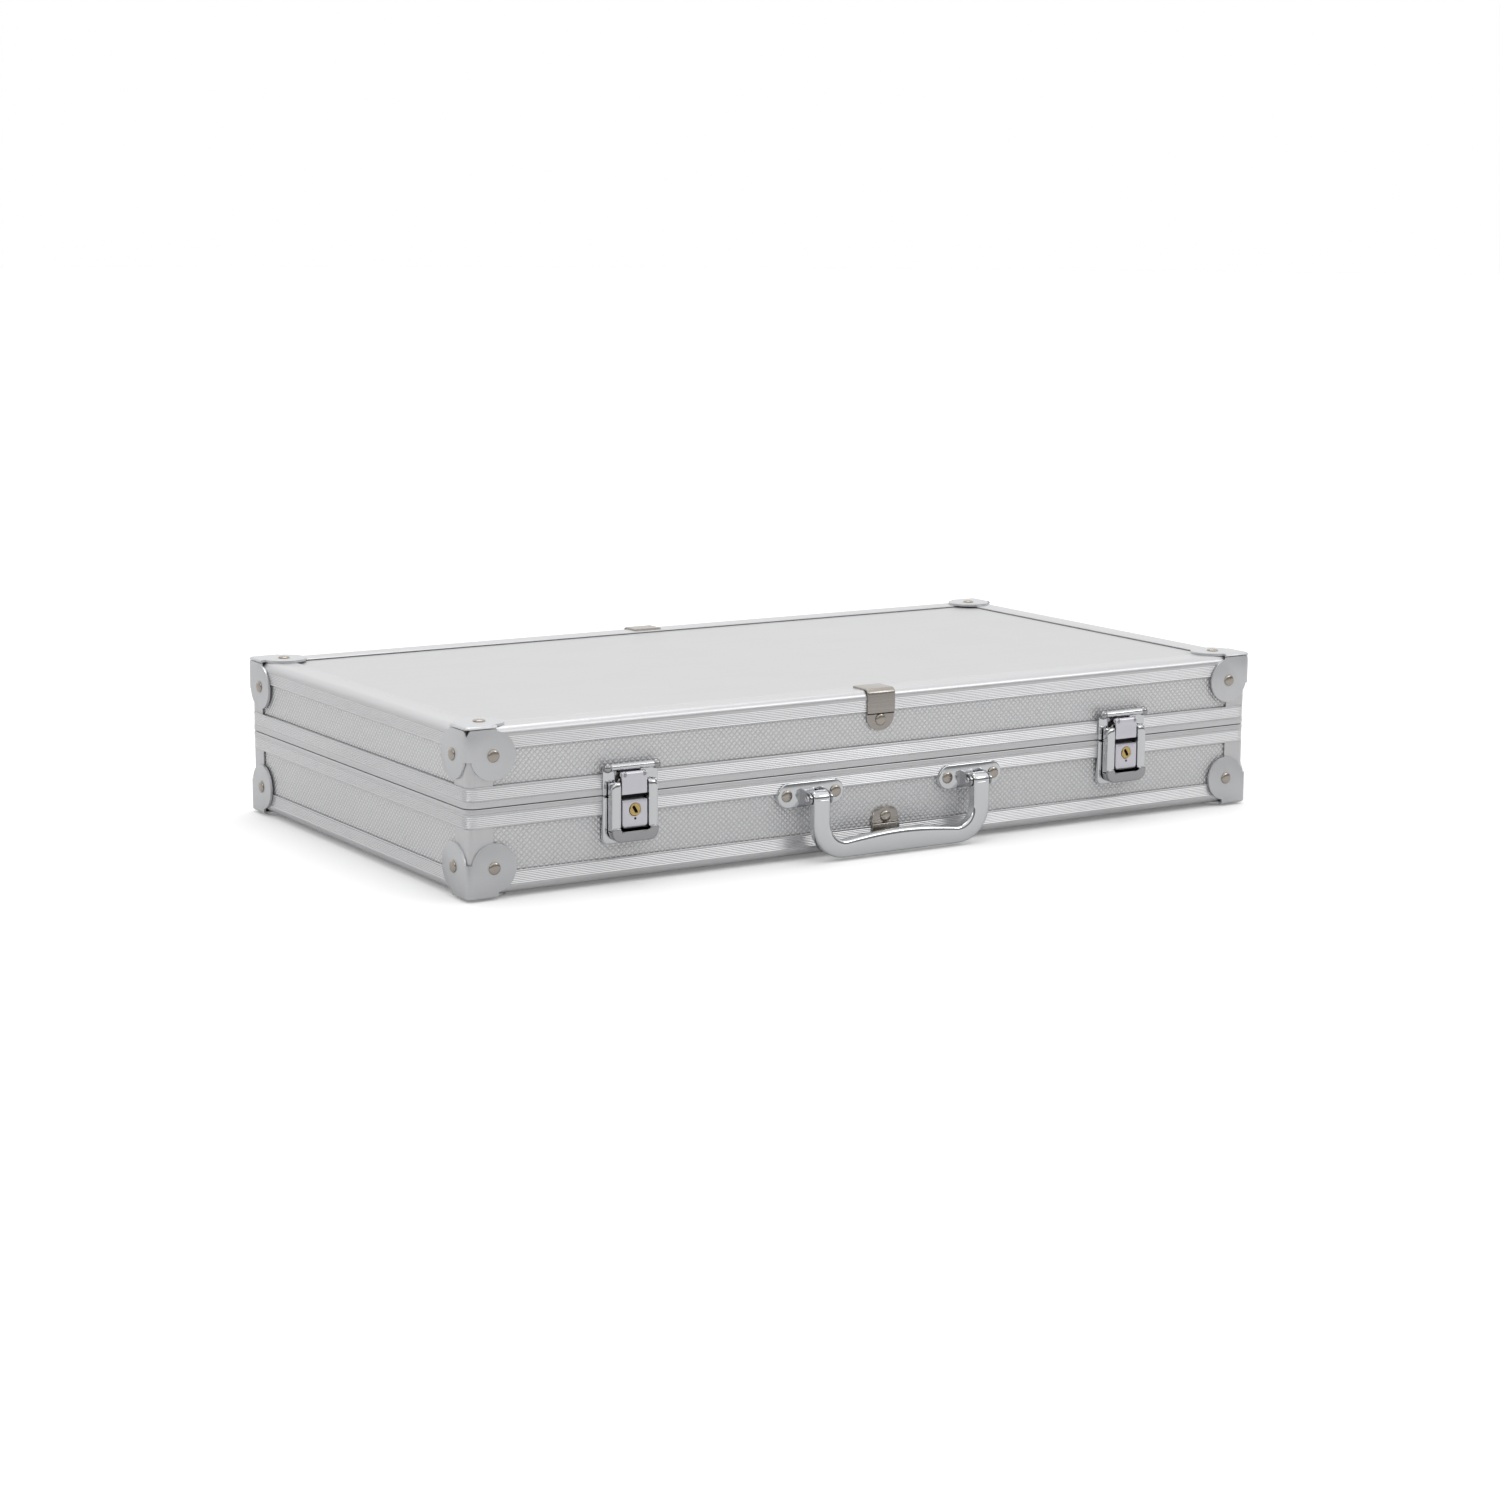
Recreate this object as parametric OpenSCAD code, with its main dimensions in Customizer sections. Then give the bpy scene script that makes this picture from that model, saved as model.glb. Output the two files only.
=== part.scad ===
// Poker chip case: aluminium-framed carrying case with a hinged lid, two key latches,
// a swinging bail handle and fitted trays. Millimetres, +Z up, front towards -Y.

/* [Case] */
// Overall width over the corner caps
case_w = 385; // [320:1:480]
// Overall depth over the corner caps
case_d = 207; // [180:1:260]
// Overall height over the corner caps
case_h = 67; // [66:1:80]
// Height of the lid, from its corner caps down to the seam
lid_h = 31.7; // [31:0.1:38]
// Gap between the two rims when the lid is shut
seam_gap = 0.3; // [0.2:0.1:0.6]

/* [Shell] */
// Thickness of the wall, lid and bottom panels
panel_t = 4; // [3:0.5:5]
// Thickness of the edge trims and corner posts
skin_t = 0.8; // [0.6:0.1:1.2]
// How far an edge trim reaches over the lid or bottom panel
trim_face = 12.5; // [8:0.5:14]
// How far an edge trim reaches over the side walls
trim_side = 8.8; // [6:0.1:10]
// Outer radius of the trims and posts along their edge
edge_r = 3; // [1:0.5:3.5]
// Width of a corner post on each wall
post_w = 11; // [8:0.5:14]

/* [Rims] */
// Height of the lid's rim band
lid_rim_h = 8.2; // [6:0.1:9]
// Height of the base's rim band
base_rim_h = 7.6; // [6:0.1:9]
// How far the rims stand out from the walls
rim_proud = 1.4; // [1.2:0.1:2]
// Thickness of a rim's webs
rim_web = 1.2; // [1:0.1:1.4]
// Outer radius of the rims round the corners
rim_r = 5; // [4:0.5:8]
// Height of the base rim's lip inside the lid
lip_h = 2; // [1:0.1:2.5]
// Gap round the lip
lip_gap = 0.4; // [0.3:0.1:0.6]

/* [Corner caps and clips] */
// Thickness of a corner cap
cap_t = 1; // [0.8:0.1:1.2]
// Distance of a cap's lobe centre from the two edges it lies between
lobe_c = 11.7; // [10:0.1:14]
// Radius of a cap's lobes
lobe_r = 9.6; // [8:0.1:11]
// How far a cap wraps along each edge
wrap_len = 13.5; // [12:0.5:16]
// Width of an edge clip
clip_w = 13.4; // [10:0.2:18]
// Height of an edge clip on the wall
clip_h = 17.5; // [15:0.5:20]
// How far an edge clip reaches over the lid or bottom panel
clip_face = 10.5; // [6:0.5:12]
// Sideways place of the clip on the lid's front edge
lid_clip_x = -3; // [-10:1:10]

/* [Rivets] */
// Radius of a rivet head
rivet_r = 2.5; // [2:0.1:3]
// Height of a rivet head
rivet_h = 0.9; // [0.6:0.1:1.2]

/* [Latches] */
// Distance of each latch from the middle of the case
latch_x = 121.3; // [80:0.1:150]
// How far the latch plates show on each side of the lever
plate_side = 1.8; // [1.2:0.1:4]
// Height of the latch plate on the base
plate_h = 19.5; // [19:0.1:21]
// Thickness of the latch sheet metal
latch_t = 0.8; // [0.6:0.1:0.9]
// Width of a leg of the latch lever
leg_w = 4.25; // [3.5:0.05:5.5]
// Gap beside the hook in the lever's window
window_gap = 0.55; // [0.3:0.05:0.8]
// Width of the hook and of the lock body
tongue_w = 11.2; // [10:0.1:14]
// Distance of the lever's face from the wall
lever_face = 6; // [5.8:0.1:7]
// Radius of the lock plug
plug_r = 2.5; // [2:0.1:3]
// Running clearance of pins and plugs, on the radius
pin_gap = 0.05; // [0.02:0.01:0.09]

/* [Handle] */
// Sideways place of the handle's middle
handle_x = 2; // [-5:0.5:5]
// Distance between the middles of the handle's arms
arm_span = 79; // [60:1:120]
// Width of an arm, seen from the front
arm_w = 8; // [6:0.5:10]
// Thickness of the handle, front to back
bail_t = 5; // [4:0.5:6]
// Distance from the pivot down to the handle's lowest edge
bail_drop = 25.3; // [20:0.1:25.5]
// Height of the pivot below the seam
pivot_low = 9.4; // [8:0.1:11]
// Distance of the pivot from the wall
pivot_out = 8; // [7.5:0.1:10]
// Radius of the handle's pins
pin_r = 1.3; // [1:0.1:1.6]

/* [Hinges] */
// Distance of each hinge from the middle of the case
hinge_x = 112; // [80:1:150]
// Length of a hinge
hinge_w = 40; // [30:1:60]
// Height of a hinge leaf
leaf_h = 9.6; // [9:0.1:12]
// Outer radius of the hinge knuckles
knuckle_r = 2.1; // [1.9:0.1:2.5]
// Radius of the hinge pins
hinge_pin_r = 1.1; // [0.9:0.1:1.3]

/* [Trays] */
// Diameter of a chip
chip_d = 40; // [37:0.5:40]
// Thickness of a chip
chip_t = 3.4; // [3:0.1:3.6]
// Width of the middle tray
centre_w = 98; // [90:1:110]
// Playing card length, with room for the fingers
card_l = 91; // [86:1:92]
// Playing card width, with room for the fingers
card_w = 66; // [62:1:70]
// Depth of the card wells
card_deep = 17; // [10:1:18]
// Room for a row of dice, along and across
dice_l = 82; // [40:1:90]
// Width of the dice slot
dice_w = 17.5; // [14:0.5:20]
// Thickness of the lining in the lid
lining_t = 12; // [6:0.5:12.5]

/* [Hidden] */
$fn = 48;

base_h = case_h - lid_h - seam_gap;      // base's height up to its rim
seam_z = case_h - lid_h - seam_gap / 2;  // middle of the seam
inset = cap_t + skin_t;                  // panel faces below the caps' faces
half_w = case_w / 2 - inset;             // middle of the case to a side wall's face
half_d = case_d / 2 - inset;             // middle of the case to the front wall's face
inner_w = half_w - panel_t;
inner_d = half_d - panel_t;
floor_z = inset + panel_t;               // inner face of the lid or bottom panel
post_lap = post_w - skin_t;

lobe_fold = 3;                           // strip of a cap beside each fold
clip_t = 0.8;                            // thickness of an edge clip
clip_rivet = 13.2;                       // height of a clip's rivet above the caps' face

// Latch, as (distance from the wall, height above the seam)
plate_face = rim_proud + latch_t;
lever_pivot = [lever_face - 2.2, 4.6];
hook_pivot = [lever_face - 2.2, 1.2];
latch_pin_r = 0.7;
hook_pin_r = 0.6;
window_w = tongue_w + 2 * window_gap;
lever_w = window_w + 2 * leg_w;
plate_w = lever_w + 2 * plate_side;
flange_t = 0.9;
ear_t = 1;
ear_r = 1;
ear_gap = 0.15;                          // between an ear and the flange inside it
ear_x = window_w / 2 + flange_t + ear_gap + ear_t / 2;
latch_rivet_r = 1.7;
latch_rivet = [lever_w / 2 - flange_t - 1.3, -11];  // beside the lever's outer flange
keeper_rivet = [4.2, 5];
hook_eye_r = 1.3;
hook_t = 0.9;
curl_r = 1.1;
curl_z = 8.2;
lever_low = -18.4;
window_low = -14;
lock_top = -1.9;
lock_low = -13.4;
lock_face = lever_face - 0.2;
plug_z = -5.9;
bar_at = [3, 11];
bar_r = 1.5;

// Handle, as distances from the wall and heights in the case
pivot_z = seam_z - pivot_low;
bail_back = pivot_out - bail_t / 2 + 0.9;
eye_r = 3.2;
bracket_l = 31.5;
bracket_h = 10.3;
bracket_t = 1;
bracket_z = seam_z - 8.5;
bracket_rivet_x = 11.7;
bracket_ear_t = 1;
bracket_gap = 0.4;
bracket_face = rim_proud + bracket_t;

leaf_t = 1;
knuckle_out = rim_proud + 0.25 + knuckle_r;
knuckle_gap = 0.3;
hinge_rivet_x = 13;
hinge_rivet_z = 5.4;
hinge_rivet_r = 2;

// Trays
tray_gap = 0.3;                          // gap between the trays and round them
rim_in = panel_t + rim_web;              // a rim's reach inside the wall's face
tray_half_w = half_w - rim_in - tray_gap;
tray_half_d = half_d - rim_in - tray_gap;
tray_floor = 1.6;
tray_end = 10;                           // least thickness at the ends of a channel
ridge = 2;                               // between two channels
channel_r = chip_d / 2 + 0.25;
channel_z = floor_z + tray_floor + channel_r;
tray_top = channel_z - 2.6;
chip_tray_w = tray_half_w - centre_w / 2 - tray_gap;
channels = floor((chip_tray_w - ridge) / (2 * channel_r + ridge));
channel_l = floor((2 * tray_half_d - 2 * tray_end) / chip_t) * chip_t + 1;
well_gap = (2 * tray_half_d - 2 * card_w - dice_w) / 4;

// How far the handle and the hinges stand out, which sets the middle of the whole object
handle_out = bail_back + bail_t;
hinge_out = knuckle_out + knuckle_r;
case_y = (handle_out - hinge_out) / 2;

function arc(c, r, a, b, n = 8) =
    [for (i = [0:n]) c + r * [cos(a + (b - a) * i / n), sin(a + (b - a) * i / n)]];

// The whole case stands on its bottom rivets, with the origin under the middle of its box
module place() translate([0, case_y, rivet_h]) children();

// Turns a half shell built upwards from its outer face into the lid
module as_lid() translate([0, 0, case_h]) mirror([0, 0, 1]) children();

// A profile drawn as (y, z), run along X and centred
module along_x(length)
    rotate([90, 0, 90]) translate([0, 0, -length / 2]) linear_extrude(length) children();

// A profile drawn as (distance from the wall, height), run along X and centred
module out_x(length) along_x(length) mirror([1, 0]) children();

module rod_x(length, r) rotate([0, 90, 0]) cylinder(h = length, r = r, center = true);

module corners()
    for (sx = [0, 1], sy = [0, 1]) mirror([sx, 0, 0]) mirror([0, sy, 0]) children();

// ---- Half shell, shared by base and lid: z = 0 at the caps' face, z = h at the rim ----

module face_panel()
    translate([-inner_w, -inner_d, inset]) cube([2 * inner_w, 2 * inner_d, panel_t]);

module long_wall(h)
    translate([-inner_w, -half_d, floor_z]) cube([2 * inner_w, panel_t, h - rim_web - floor_z]);

module short_wall(h)
    translate([-half_w, -inner_d, floor_z]) cube([panel_t, 2 * inner_d, h - rim_web - floor_z]);

module trim_profile() {
    lap = skin_t + panel_t;
    polygon(concat(arc([edge_r, edge_r], edge_r, 180, 270), [
        [trim_face, 0], [trim_face, skin_t], [lap, skin_t], [lap, lap], [skin_t, lap],
        [skin_t, trim_side], [0, trim_side]]));
}

module long_trim()
    along_x(2 * inner_w) translate([-half_d - skin_t, cap_t]) trim_profile();

module short_trim()
    rotate([0, 0, -90]) along_x(2 * (half_d + skin_t - trim_face))
        translate([-half_w - skin_t, cap_t]) trim_profile();

module posts(h, rim_h)
    corners() translate([-half_w, -half_d, 0]) {
        translate([0, 0, cap_t + trim_side]) linear_extrude(h - rim_h - cap_t - trim_side)
            polygon(concat(arc([edge_r, edge_r] - [skin_t, skin_t], edge_r, 180, 270), [
                [post_lap, -skin_t], [post_lap, 0], [panel_t, 0], [panel_t, panel_t],
                [0, panel_t], [0, post_lap], [-skin_t, post_lap]]));
        translate([0, 0, inset]) cube([panel_t, panel_t, h - rim_web - inset]);
    }

module rounded_rect(w, d, r)
    polygon(concat(
        arc([w - r, d - r], r, 0, 90), arc([r - w, d - r], r, 90, 180),
        arc([r - w, r - d], r, 180, 270), arc([w - r, r - d], r, 270, 360)));

module rect(w, d) square([2 * w, 2 * d], center = true);

module rim(h, rim_h, lipped) {
    low = h - rim_h;
    difference() {
        translate([0, 0, low]) linear_extrude(rim_h)
            rounded_rect(half_w + rim_proud, half_d + rim_proud, rim_r);
        translate([0, 0, low - 1]) linear_extrude(rim_h + 2)
            rect(half_w - rim_in, half_d - rim_in);
        translate([0, 0, low - 1]) linear_extrude(rim_h + 1 - rim_web) difference() {
            rect(half_w, half_d);
            rect(inner_w, inner_d);
        }
        if (!lipped)
            translate([0, 0, h - lip_h - lip_gap]) linear_extrude(lip_h + lip_gap + 1)
                rect(inner_w, inner_d);
    }
    if (lipped)
        translate([0, 0, h - rim_web / 2]) linear_extrude(lip_h + rim_web / 2) difference() {
            rect(inner_w - lip_gap, inner_d - lip_gap);
            rect(half_w - rim_in, half_d - rim_in);
        }
}

module cap_outline() {
    square(lobe_c);
    translate([lobe_c, lobe_c]) circle(lobe_r);
    square([wrap_len, lobe_fold]);
    square([lobe_fold, wrap_len]);
}

module caps()
    corners() translate([-case_w / 2, -case_d / 2, 0]) {
        linear_extrude(cap_t) cap_outline();
        translate([0, cap_t, 0]) rotate([90, 0, 0]) linear_extrude(cap_t) cap_outline();
        translate([cap_t, 0, 0]) rotate([0, -90, 0]) linear_extrude(cap_t) cap_outline();
    }

// A rivet head standing up from z = 0
module rivet_head(r = rivet_r) cylinder(h = rivet_h, r1 = r, r2 = 0.6 * r);

module cap_rivets()
    corners() translate([-case_w / 2, -case_d / 2, 0]) {
        translate([lobe_c, lobe_c, 0]) mirror([0, 0, 1]) rivet_head();
        translate([lobe_c, 0, lobe_c]) rotate([90, 0, 0]) rivet_head();
        translate([0, lobe_c, lobe_c]) rotate([0, -90, 0]) rivet_head();
    }

// One clip over the front edge, from the bottom or lid panel up on to the wall
module clip() {
    step_z = cap_t + trim_side;
    round_r = clip_w / 2;
    out_x(clip_w) translate([half_d, 0]) polygon([
        [skin_t + clip_t, cap_t - clip_t], [skin_t + clip_t, step_z + clip_t], [0, step_z + clip_t],
        [0, step_z], [skin_t, step_z], [skin_t, cap_t], [skin_t - clip_face, cap_t],
        [skin_t - clip_face, cap_t - clip_t]]);
    translate([0, -half_d, 0]) rotate([90, 0, 0]) linear_extrude(clip_t) intersection() {
        translate([0, clip_h - round_r]) circle(round_r);
        translate([-clip_w, step_z]) square([2 * clip_w, clip_h]);
    }
}

module clip_pair(front_x) {
    translate([front_x, 0, 0]) clip();
    mirror([0, 1, 0]) clip();
}

module clip_rivet_pair(front_x)
    for (back = [0, 1]) mirror([0, back, 0])
        translate([back == 0 ? front_x : 0, -half_d - clip_t, clip_rivet])
            rotate([90, 0, 0]) rivet_head();

module half_rivets(front_x) {
    cap_rivets();
    clip_rivet_pair(front_x);
}

// ---- Trays and lining ----

module chip_tray() color("dimgray") {
    x0 = centre_w / 2 + tray_gap;
    spare = (chip_tray_w - channels * 2 * channel_r - (channels - 1) * ridge) / 2;
    difference() {
        translate([x0, -tray_half_d, floor_z])
            cube([chip_tray_w, 2 * tray_half_d, tray_top - floor_z]);
        for (i = [0:channels - 1])
            translate([x0 + spare + channel_r + i * (2 * channel_r + ridge), 0, channel_z])
                rotate([90, 0, 0]) cylinder(h = channel_l, r = channel_r, center = true);
    }
}

module centre_tray() color("dimgray") difference() {
    translate([-centre_w / 2, -tray_half_d, floor_z])
        cube([centre_w, 2 * tray_half_d, tray_top - floor_z]);
    for (i = [0, 1])
        translate([-card_l / 2, -tray_half_d + well_gap + i * (card_w + well_gap),
                   tray_top - card_deep])
            cube([card_l, card_w, card_deep + 1]);
    translate([-dice_l / 2, tray_half_d - well_gap - dice_w, tray_top - card_deep])
        cube([dice_l, dice_w, card_deep + 1]);
}

module lining() color("black")
    translate([-inner_w + tray_gap, -inner_d + tray_gap, floor_z])
        cube([2 * (inner_w - tray_gap), 2 * (inner_d - tray_gap), lining_t]);

// ---- Hinges on the back wall; local y = 0 at the wall's face, outwards is +Y ----

module at_hinges()
    for (s = [-1, 1]) translate([s * hinge_x, half_d, seam_z]) children();

knuckle_l = (hinge_w - 2 * knuckle_gap) / 3;

// A leaf standing up or down from the seam, with knuckles at the listed places
module leaf(up, places) {
    dir = up ? 0 : 1;
    difference() {
        union() {
            mirror([0, 0, dir]) translate([-hinge_w / 2, rim_proud, seam_gap / 2])
                cube([hinge_w, leaf_t, leaf_h]);
            for (i = places) translate([i * (knuckle_l + knuckle_gap), knuckle_out, 0])
                rod_x(knuckle_l, knuckle_r);
        }
        for (i = [-1:1]) if (len(search(i, places)) == 0)
            translate([i * (knuckle_l + knuckle_gap), knuckle_out, 0])
                rod_x(knuckle_l + 2 * knuckle_gap, knuckle_r + knuckle_gap);
        translate([0, knuckle_out, 0]) rod_x(hinge_w + 2, hinge_pin_r + pin_gap);
    }
}

module base_leaves() color("lightgray") at_hinges() leaf(false, [-1, 1]);
module lid_leaves() color("lightgray") at_hinges() leaf(true, [0]);
module hinge_pins() color("silver")
    at_hinges() translate([0, knuckle_out, 0]) rod_x(hinge_w, hinge_pin_r);
module hinge_rivets(up) color("tan")
    at_hinges() for (s = [-1, 1])
        translate([s * hinge_rivet_x, rim_proud + leaf_t, (up ? 1 : -1) * hinge_rivet_z])
            rotate([-90, 0, 0]) rivet_head(hinge_rivet_r);

// ---- Latches on the front wall; local profiles are (distance from the wall, height) ----

module at_latch(s) translate([s * latch_x, -half_d, seam_z]) children();

// The corner that rounding takes off, at the origin, opening towards +x +z
module corner_cut(r) polygon(concat([[-1, -1]], [[r, -1]], arc([r, r], r, 270, 180), [[-1, r]]));

module latch_plate() color("silver") {
    side = plate_w / 2;
    under = plate_h - base_rim_h - seam_gap / 2;
    difference() {
        translate([-side, -plate_face, -plate_h]) cube([plate_w, plate_face, under]);
        translate([latch_t - side, -rim_proud, latch_t - plate_h])
            cube([plate_w - 2 * latch_t, plate_face, under]);
    }
    translate([-side, -plate_face, -plate_h + latch_t])
        cube([plate_w, latch_t, plate_h - latch_t - seam_gap / 2]);
    for (s = [-1, 1]) difference() {
        translate([s * (ear_x + ear_t / 2), 0, 0]) out_x(ear_t) polygon(concat(
            [[plate_face - latch_t / 2, -6], [lever_pivot[0] + ear_r, -6]],
            arc(lever_pivot, ear_r, 0, 180),
            [[lever_pivot[0] - ear_r, -0.4], [plate_face - latch_t / 2, -0.4]]));
        translate([0, -lever_pivot[0], lever_pivot[1]]) rod_x(lever_w, latch_pin_r + pin_gap);
    }
}

module lock_body() color("gainsboro") difference() {
    translate([-tongue_w / 2, -lock_face, lock_low])
        cube([tongue_w, lock_face - plate_face, lock_top - lock_low]);
    for (m = [0, 1]) mirror([m, 0, 0]) translate([-tongue_w / 2, 0, lock_low])
        rotate([90, 0, 0]) linear_extrude(lock_face + 1) corner_cut(2);
    translate([0, -plate_face - latch_t, plug_z]) rotate([90, 0, 0])
        cylinder(h = lock_face, r = plug_r + pin_gap);
    translate([0, -lock_face + 1, plug_z - plug_r - 1]) rotate([90, 0, 0])
        cylinder(h = 2, r = 0.5);
}

module lock_plug() color("gold") translate([0, -plate_face - latch_t - pin_gap, plug_z])
    rotate([90, 0, 0]) difference() {
        cylinder(h = lock_face + 0.2 - plate_face - latch_t - pin_gap, r = plug_r);
        rotate([0, 0, -20]) translate([-0.4, -1, 1]) cube([0.8, 2.8, 4]);
    }

module pivot_pins() color("silver")
    for (s = [-1, 1], m = [-1, 1]) at_latch(s)
        translate([m * (ear_x + lever_w / 2) / 2, -lever_pivot[0], lever_pivot[1]])
            rod_x(lever_w / 2 - ear_x, latch_pin_r);

module plate_rivets() color("tan")
    for (s = [-1, 1], m = [-1, 1]) at_latch(s)
        translate([m * latch_rivet[0], -plate_face, latch_rivet[1]]) rotate([90, 0, 0])
            rivet_head(latch_rivet_r);

module lever() color("silver") {
    window = window_w / 2;
    skin = lever_face - 1;
    difference() {
        union() {
            for (m = [0, 1]) mirror([m, 0, 0]) {
                // outer flange, round its pivot and down to the bottom bar
                translate([lever_w / 2 - flange_t / 2, 0, 0]) out_x(flange_t) polygon(concat(
                    [[lever_face - 3.1, window_low], [lever_pivot[0] - 1.1, 0]],
                    arc(lever_pivot, 1.1, 180, 30),
                    [[lever_face, 3.2], [lever_face, window_low]]));
                // inner flange, round the hook's pin
                translate([window + flange_t / 2, 0, 0]) out_x(flange_t) polygon([
                    [skin, window_low], [skin, -1], [hook_pivot[0] - 0.9, -0.4],
                    [hook_pivot[0] - 0.9, 3], [skin, 3.2],
                    [lever_face, 3.2], [lever_face, window_low]]);
                // front of the leg, drawn in at its top round the ear
                translate([window + leg_w / 2, 0, 0]) out_x(leg_w) polygon([
                    [skin, window_low - 0.5], [skin, 3.4], [skin + 0.1, 4.4], [skin + 0.05, 5.1],
                    [skin + 0.35, 5.6], [lever_face - 0.25, 4.9], [lever_face, 3.6],
                    [lever_face, window_low - 0.5]]);
            }
            // bottom bar, swollen for the finger
            out_x(lever_w) polygon([
                [lever_face - 2.8, window_low], [lever_face - 3, -15.6],
                [lever_face - 2.4, lever_low + 0.6], [lever_face - 1.2, lever_low],
                [lever_face, lever_low + 0.6], [lever_face + 0.6, -16.2],
                [lever_face, window_low]]);
        }
        for (m = [0, 1]) mirror([m, 0, 0]) translate([-lever_w / 2, 0, lever_low])
            rotate([90, 0, 0]) linear_extrude(9) corner_cut(4);
        translate([0, -lever_pivot[0], lever_pivot[1]]) rod_x(lever_w + 1, latch_pin_r + pin_gap);
        translate([0, -hook_pivot[0], hook_pivot[1]])
            rod_x(window_w + 2 * flange_t + 1, hook_pin_r + pin_gap);
    }
}

module hook_pin() color("silver")
    translate([0, -hook_pivot[0], hook_pivot[1]]) rod_x(window_w + 2 * flange_t, hook_pin_r);

module hook() color("lightgray") difference() {
    union() {
        out_x(tongue_w) polygon([
            [lock_face - hook_t, 0.1], [lock_face, 0.1], [lock_face, curl_z],
            [lock_face - hook_t, curl_z]]);
        translate([0, -hook_pivot[0], hook_pivot[1]]) rod_x(tongue_w, hook_eye_r);
        translate([0, curl_r + 0.05 - lock_face, curl_z]) rod_x(tongue_w, curl_r);
    }
    translate([0, -hook_pivot[0], hook_pivot[1]]) rod_x(tongue_w + 1, hook_pin_r + pin_gap);
}

module keeper() color("silver") {
    translate([-plate_w / 2, -plate_face, seam_gap / 2])
        cube([plate_w, latch_t, bar_at[1] - seam_gap / 2]);
    translate([0, -bar_at[0], bar_at[1]]) {
        rod_x(plate_w, bar_r);
        for (s = [-1, 1]) translate([s * (plate_w / 2 - 0.6), 0, 0]) rod_x(2.4, bar_r + 0.5);
    }
}

module keeper_rivets() color("tan")
    for (s = [-1, 1], m = [-1, 1]) at_latch(s)
        translate([m * keeper_rivet[0], -plate_face, keeper_rivet[1]]) rotate([90, 0, 0])
            rivet_head(latch_rivet_r);

// ---- Handle ----

module at_arm(s) translate([handle_x + s * arm_span / 2, -half_d, 0]) children();

module bracket() color("silver") {
    ear_at = arm_w / 2 + bracket_gap + bracket_ear_t / 2;
    r = bracket_h / 2;
    l = bracket_l / 2 - r;
    difference() {
        translate([0, 0, bracket_z]) rotate([90, 0, 0]) linear_extrude(bracket_face) polygon(
            concat(arc([l, 0], r, -90, 90), arc([-l, 0], r, 90, 270)));
        // the rim's lower edge, which the plate laps over
        translate([-bracket_l, -rim_proud, base_h - base_rim_h])
            cube([2 * bracket_l, 2 * rim_proud, bracket_h]);
    }
    for (s = [-1, 1]) difference() {
        translate([s * ear_at, 0, pivot_z]) out_x(bracket_ear_t) polygon(concat(
            [[bracket_face - bracket_t / 2, 3.6], [bracket_face - bracket_t / 2, -3.4]],
            arc([pivot_out, 0], 2.6, -70, 70)));
        translate([0, -pivot_out, pivot_z]) rod_x(3 * arm_w, pin_r + pin_gap);
    }
}

module bracket_pins() color("silver")
    for (s = [-1, 1]) at_arm(s) translate([0, -pivot_out, pivot_z])
        rod_x(arm_w + 2 * (bracket_gap + bracket_ear_t) + 1, pin_r);

module bracket_rivets() color("tan")
    for (s = [-1, 1], m = [-1, 1]) at_arm(s)
        translate([m * bracket_rivet_x, -bracket_face, bracket_z]) rotate([90, 0, 0]) rivet_head();

module bail_outline() {
    w = (arm_span + arm_w) / 2;
    r = 15;
    ri = r - arm_w + 1;
    bar = 7.2;
    wi = w - arm_w;
    // the grip's upper edge rises from the arms to the middle
    rise = 2.2;
    polygon(concat(
        [[-w, 0]], arc([r - w, r - bail_drop], r, 180, 270), arc([w - r, r - bail_drop], r, 270, 360),
        [[w, 0], [wi, 0]], arc([wi - ri, ri + bar - bail_drop], ri, 0, -90),
        [for (i = [1:7]) [(wi - ri) * (1 - i / 4), bar - bail_drop + rise * sin(180 * i / 8)]],
        arc([ri - wi, ri + bar - bail_drop], ri, 270, 180), [[-wi, 0]]));
}

module bail() color("silver") translate([handle_x, -half_d, pivot_z]) difference() {
    union() {
        translate([0, -bail_back, 0]) rotate([90, 0, 0]) linear_extrude(bail_t) bail_outline();
        for (s = [-1, 1]) translate([s * arm_span / 2, -pivot_out, 0]) rod_x(arm_w, eye_r);
    }
    for (s = [-1, 1]) translate([s * arm_span / 2, -pivot_out, 0])
        rod_x(arm_w + 1, pin_r + pin_gap);
}

place() color("gainsboro") face_panel();  // base_panel
place() color("gainsboro") long_wall(base_h);  // base_front_wall
place() color("gainsboro") mirror([0, 1, 0]) long_wall(base_h);  // base_back_wall
place() color("gainsboro") short_wall(base_h);  // base_left_wall
place() color("gainsboro") mirror([1, 0, 0]) short_wall(base_h);  // base_right_wall
place() color("silver") long_trim();  // base_front_trim
place() color("silver") mirror([0, 1, 0]) long_trim();  // base_back_trim
place() color("silver") short_trim();  // base_left_trim
place() color("silver") mirror([1, 0, 0]) short_trim();  // base_right_trim
place() color("silver") rim(base_h, base_rim_h, true);  // base_rim
place() color("silver") posts(base_h, base_rim_h);  // base_corner_posts
place() color("lightsteelblue") caps();  // base_corner_caps
place() color("tan") half_rivets(0);  // base_rivets
place() color("lightgray") clip_pair(0);  // base_clips
place() mirror([1, 0, 0]) chip_tray();  // left_chip_tray
place() chip_tray();  // right_chip_tray
place() centre_tray();
place() base_leaves();  // hinge_base_leaves
place() hinge_pins();
place() hinge_rivets(false);  // hinge_base_rivets
place() at_latch(-1) latch_plate();  // left_latch_plate
place() at_latch(1) latch_plate();  // right_latch_plate
place() at_latch(-1) lock_body();  // left_lock_body
place() at_latch(1) lock_body();  // right_lock_body
place() pivot_pins();  // latch_pivot_pins
place() plate_rivets();  // latch_rivets
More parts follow.
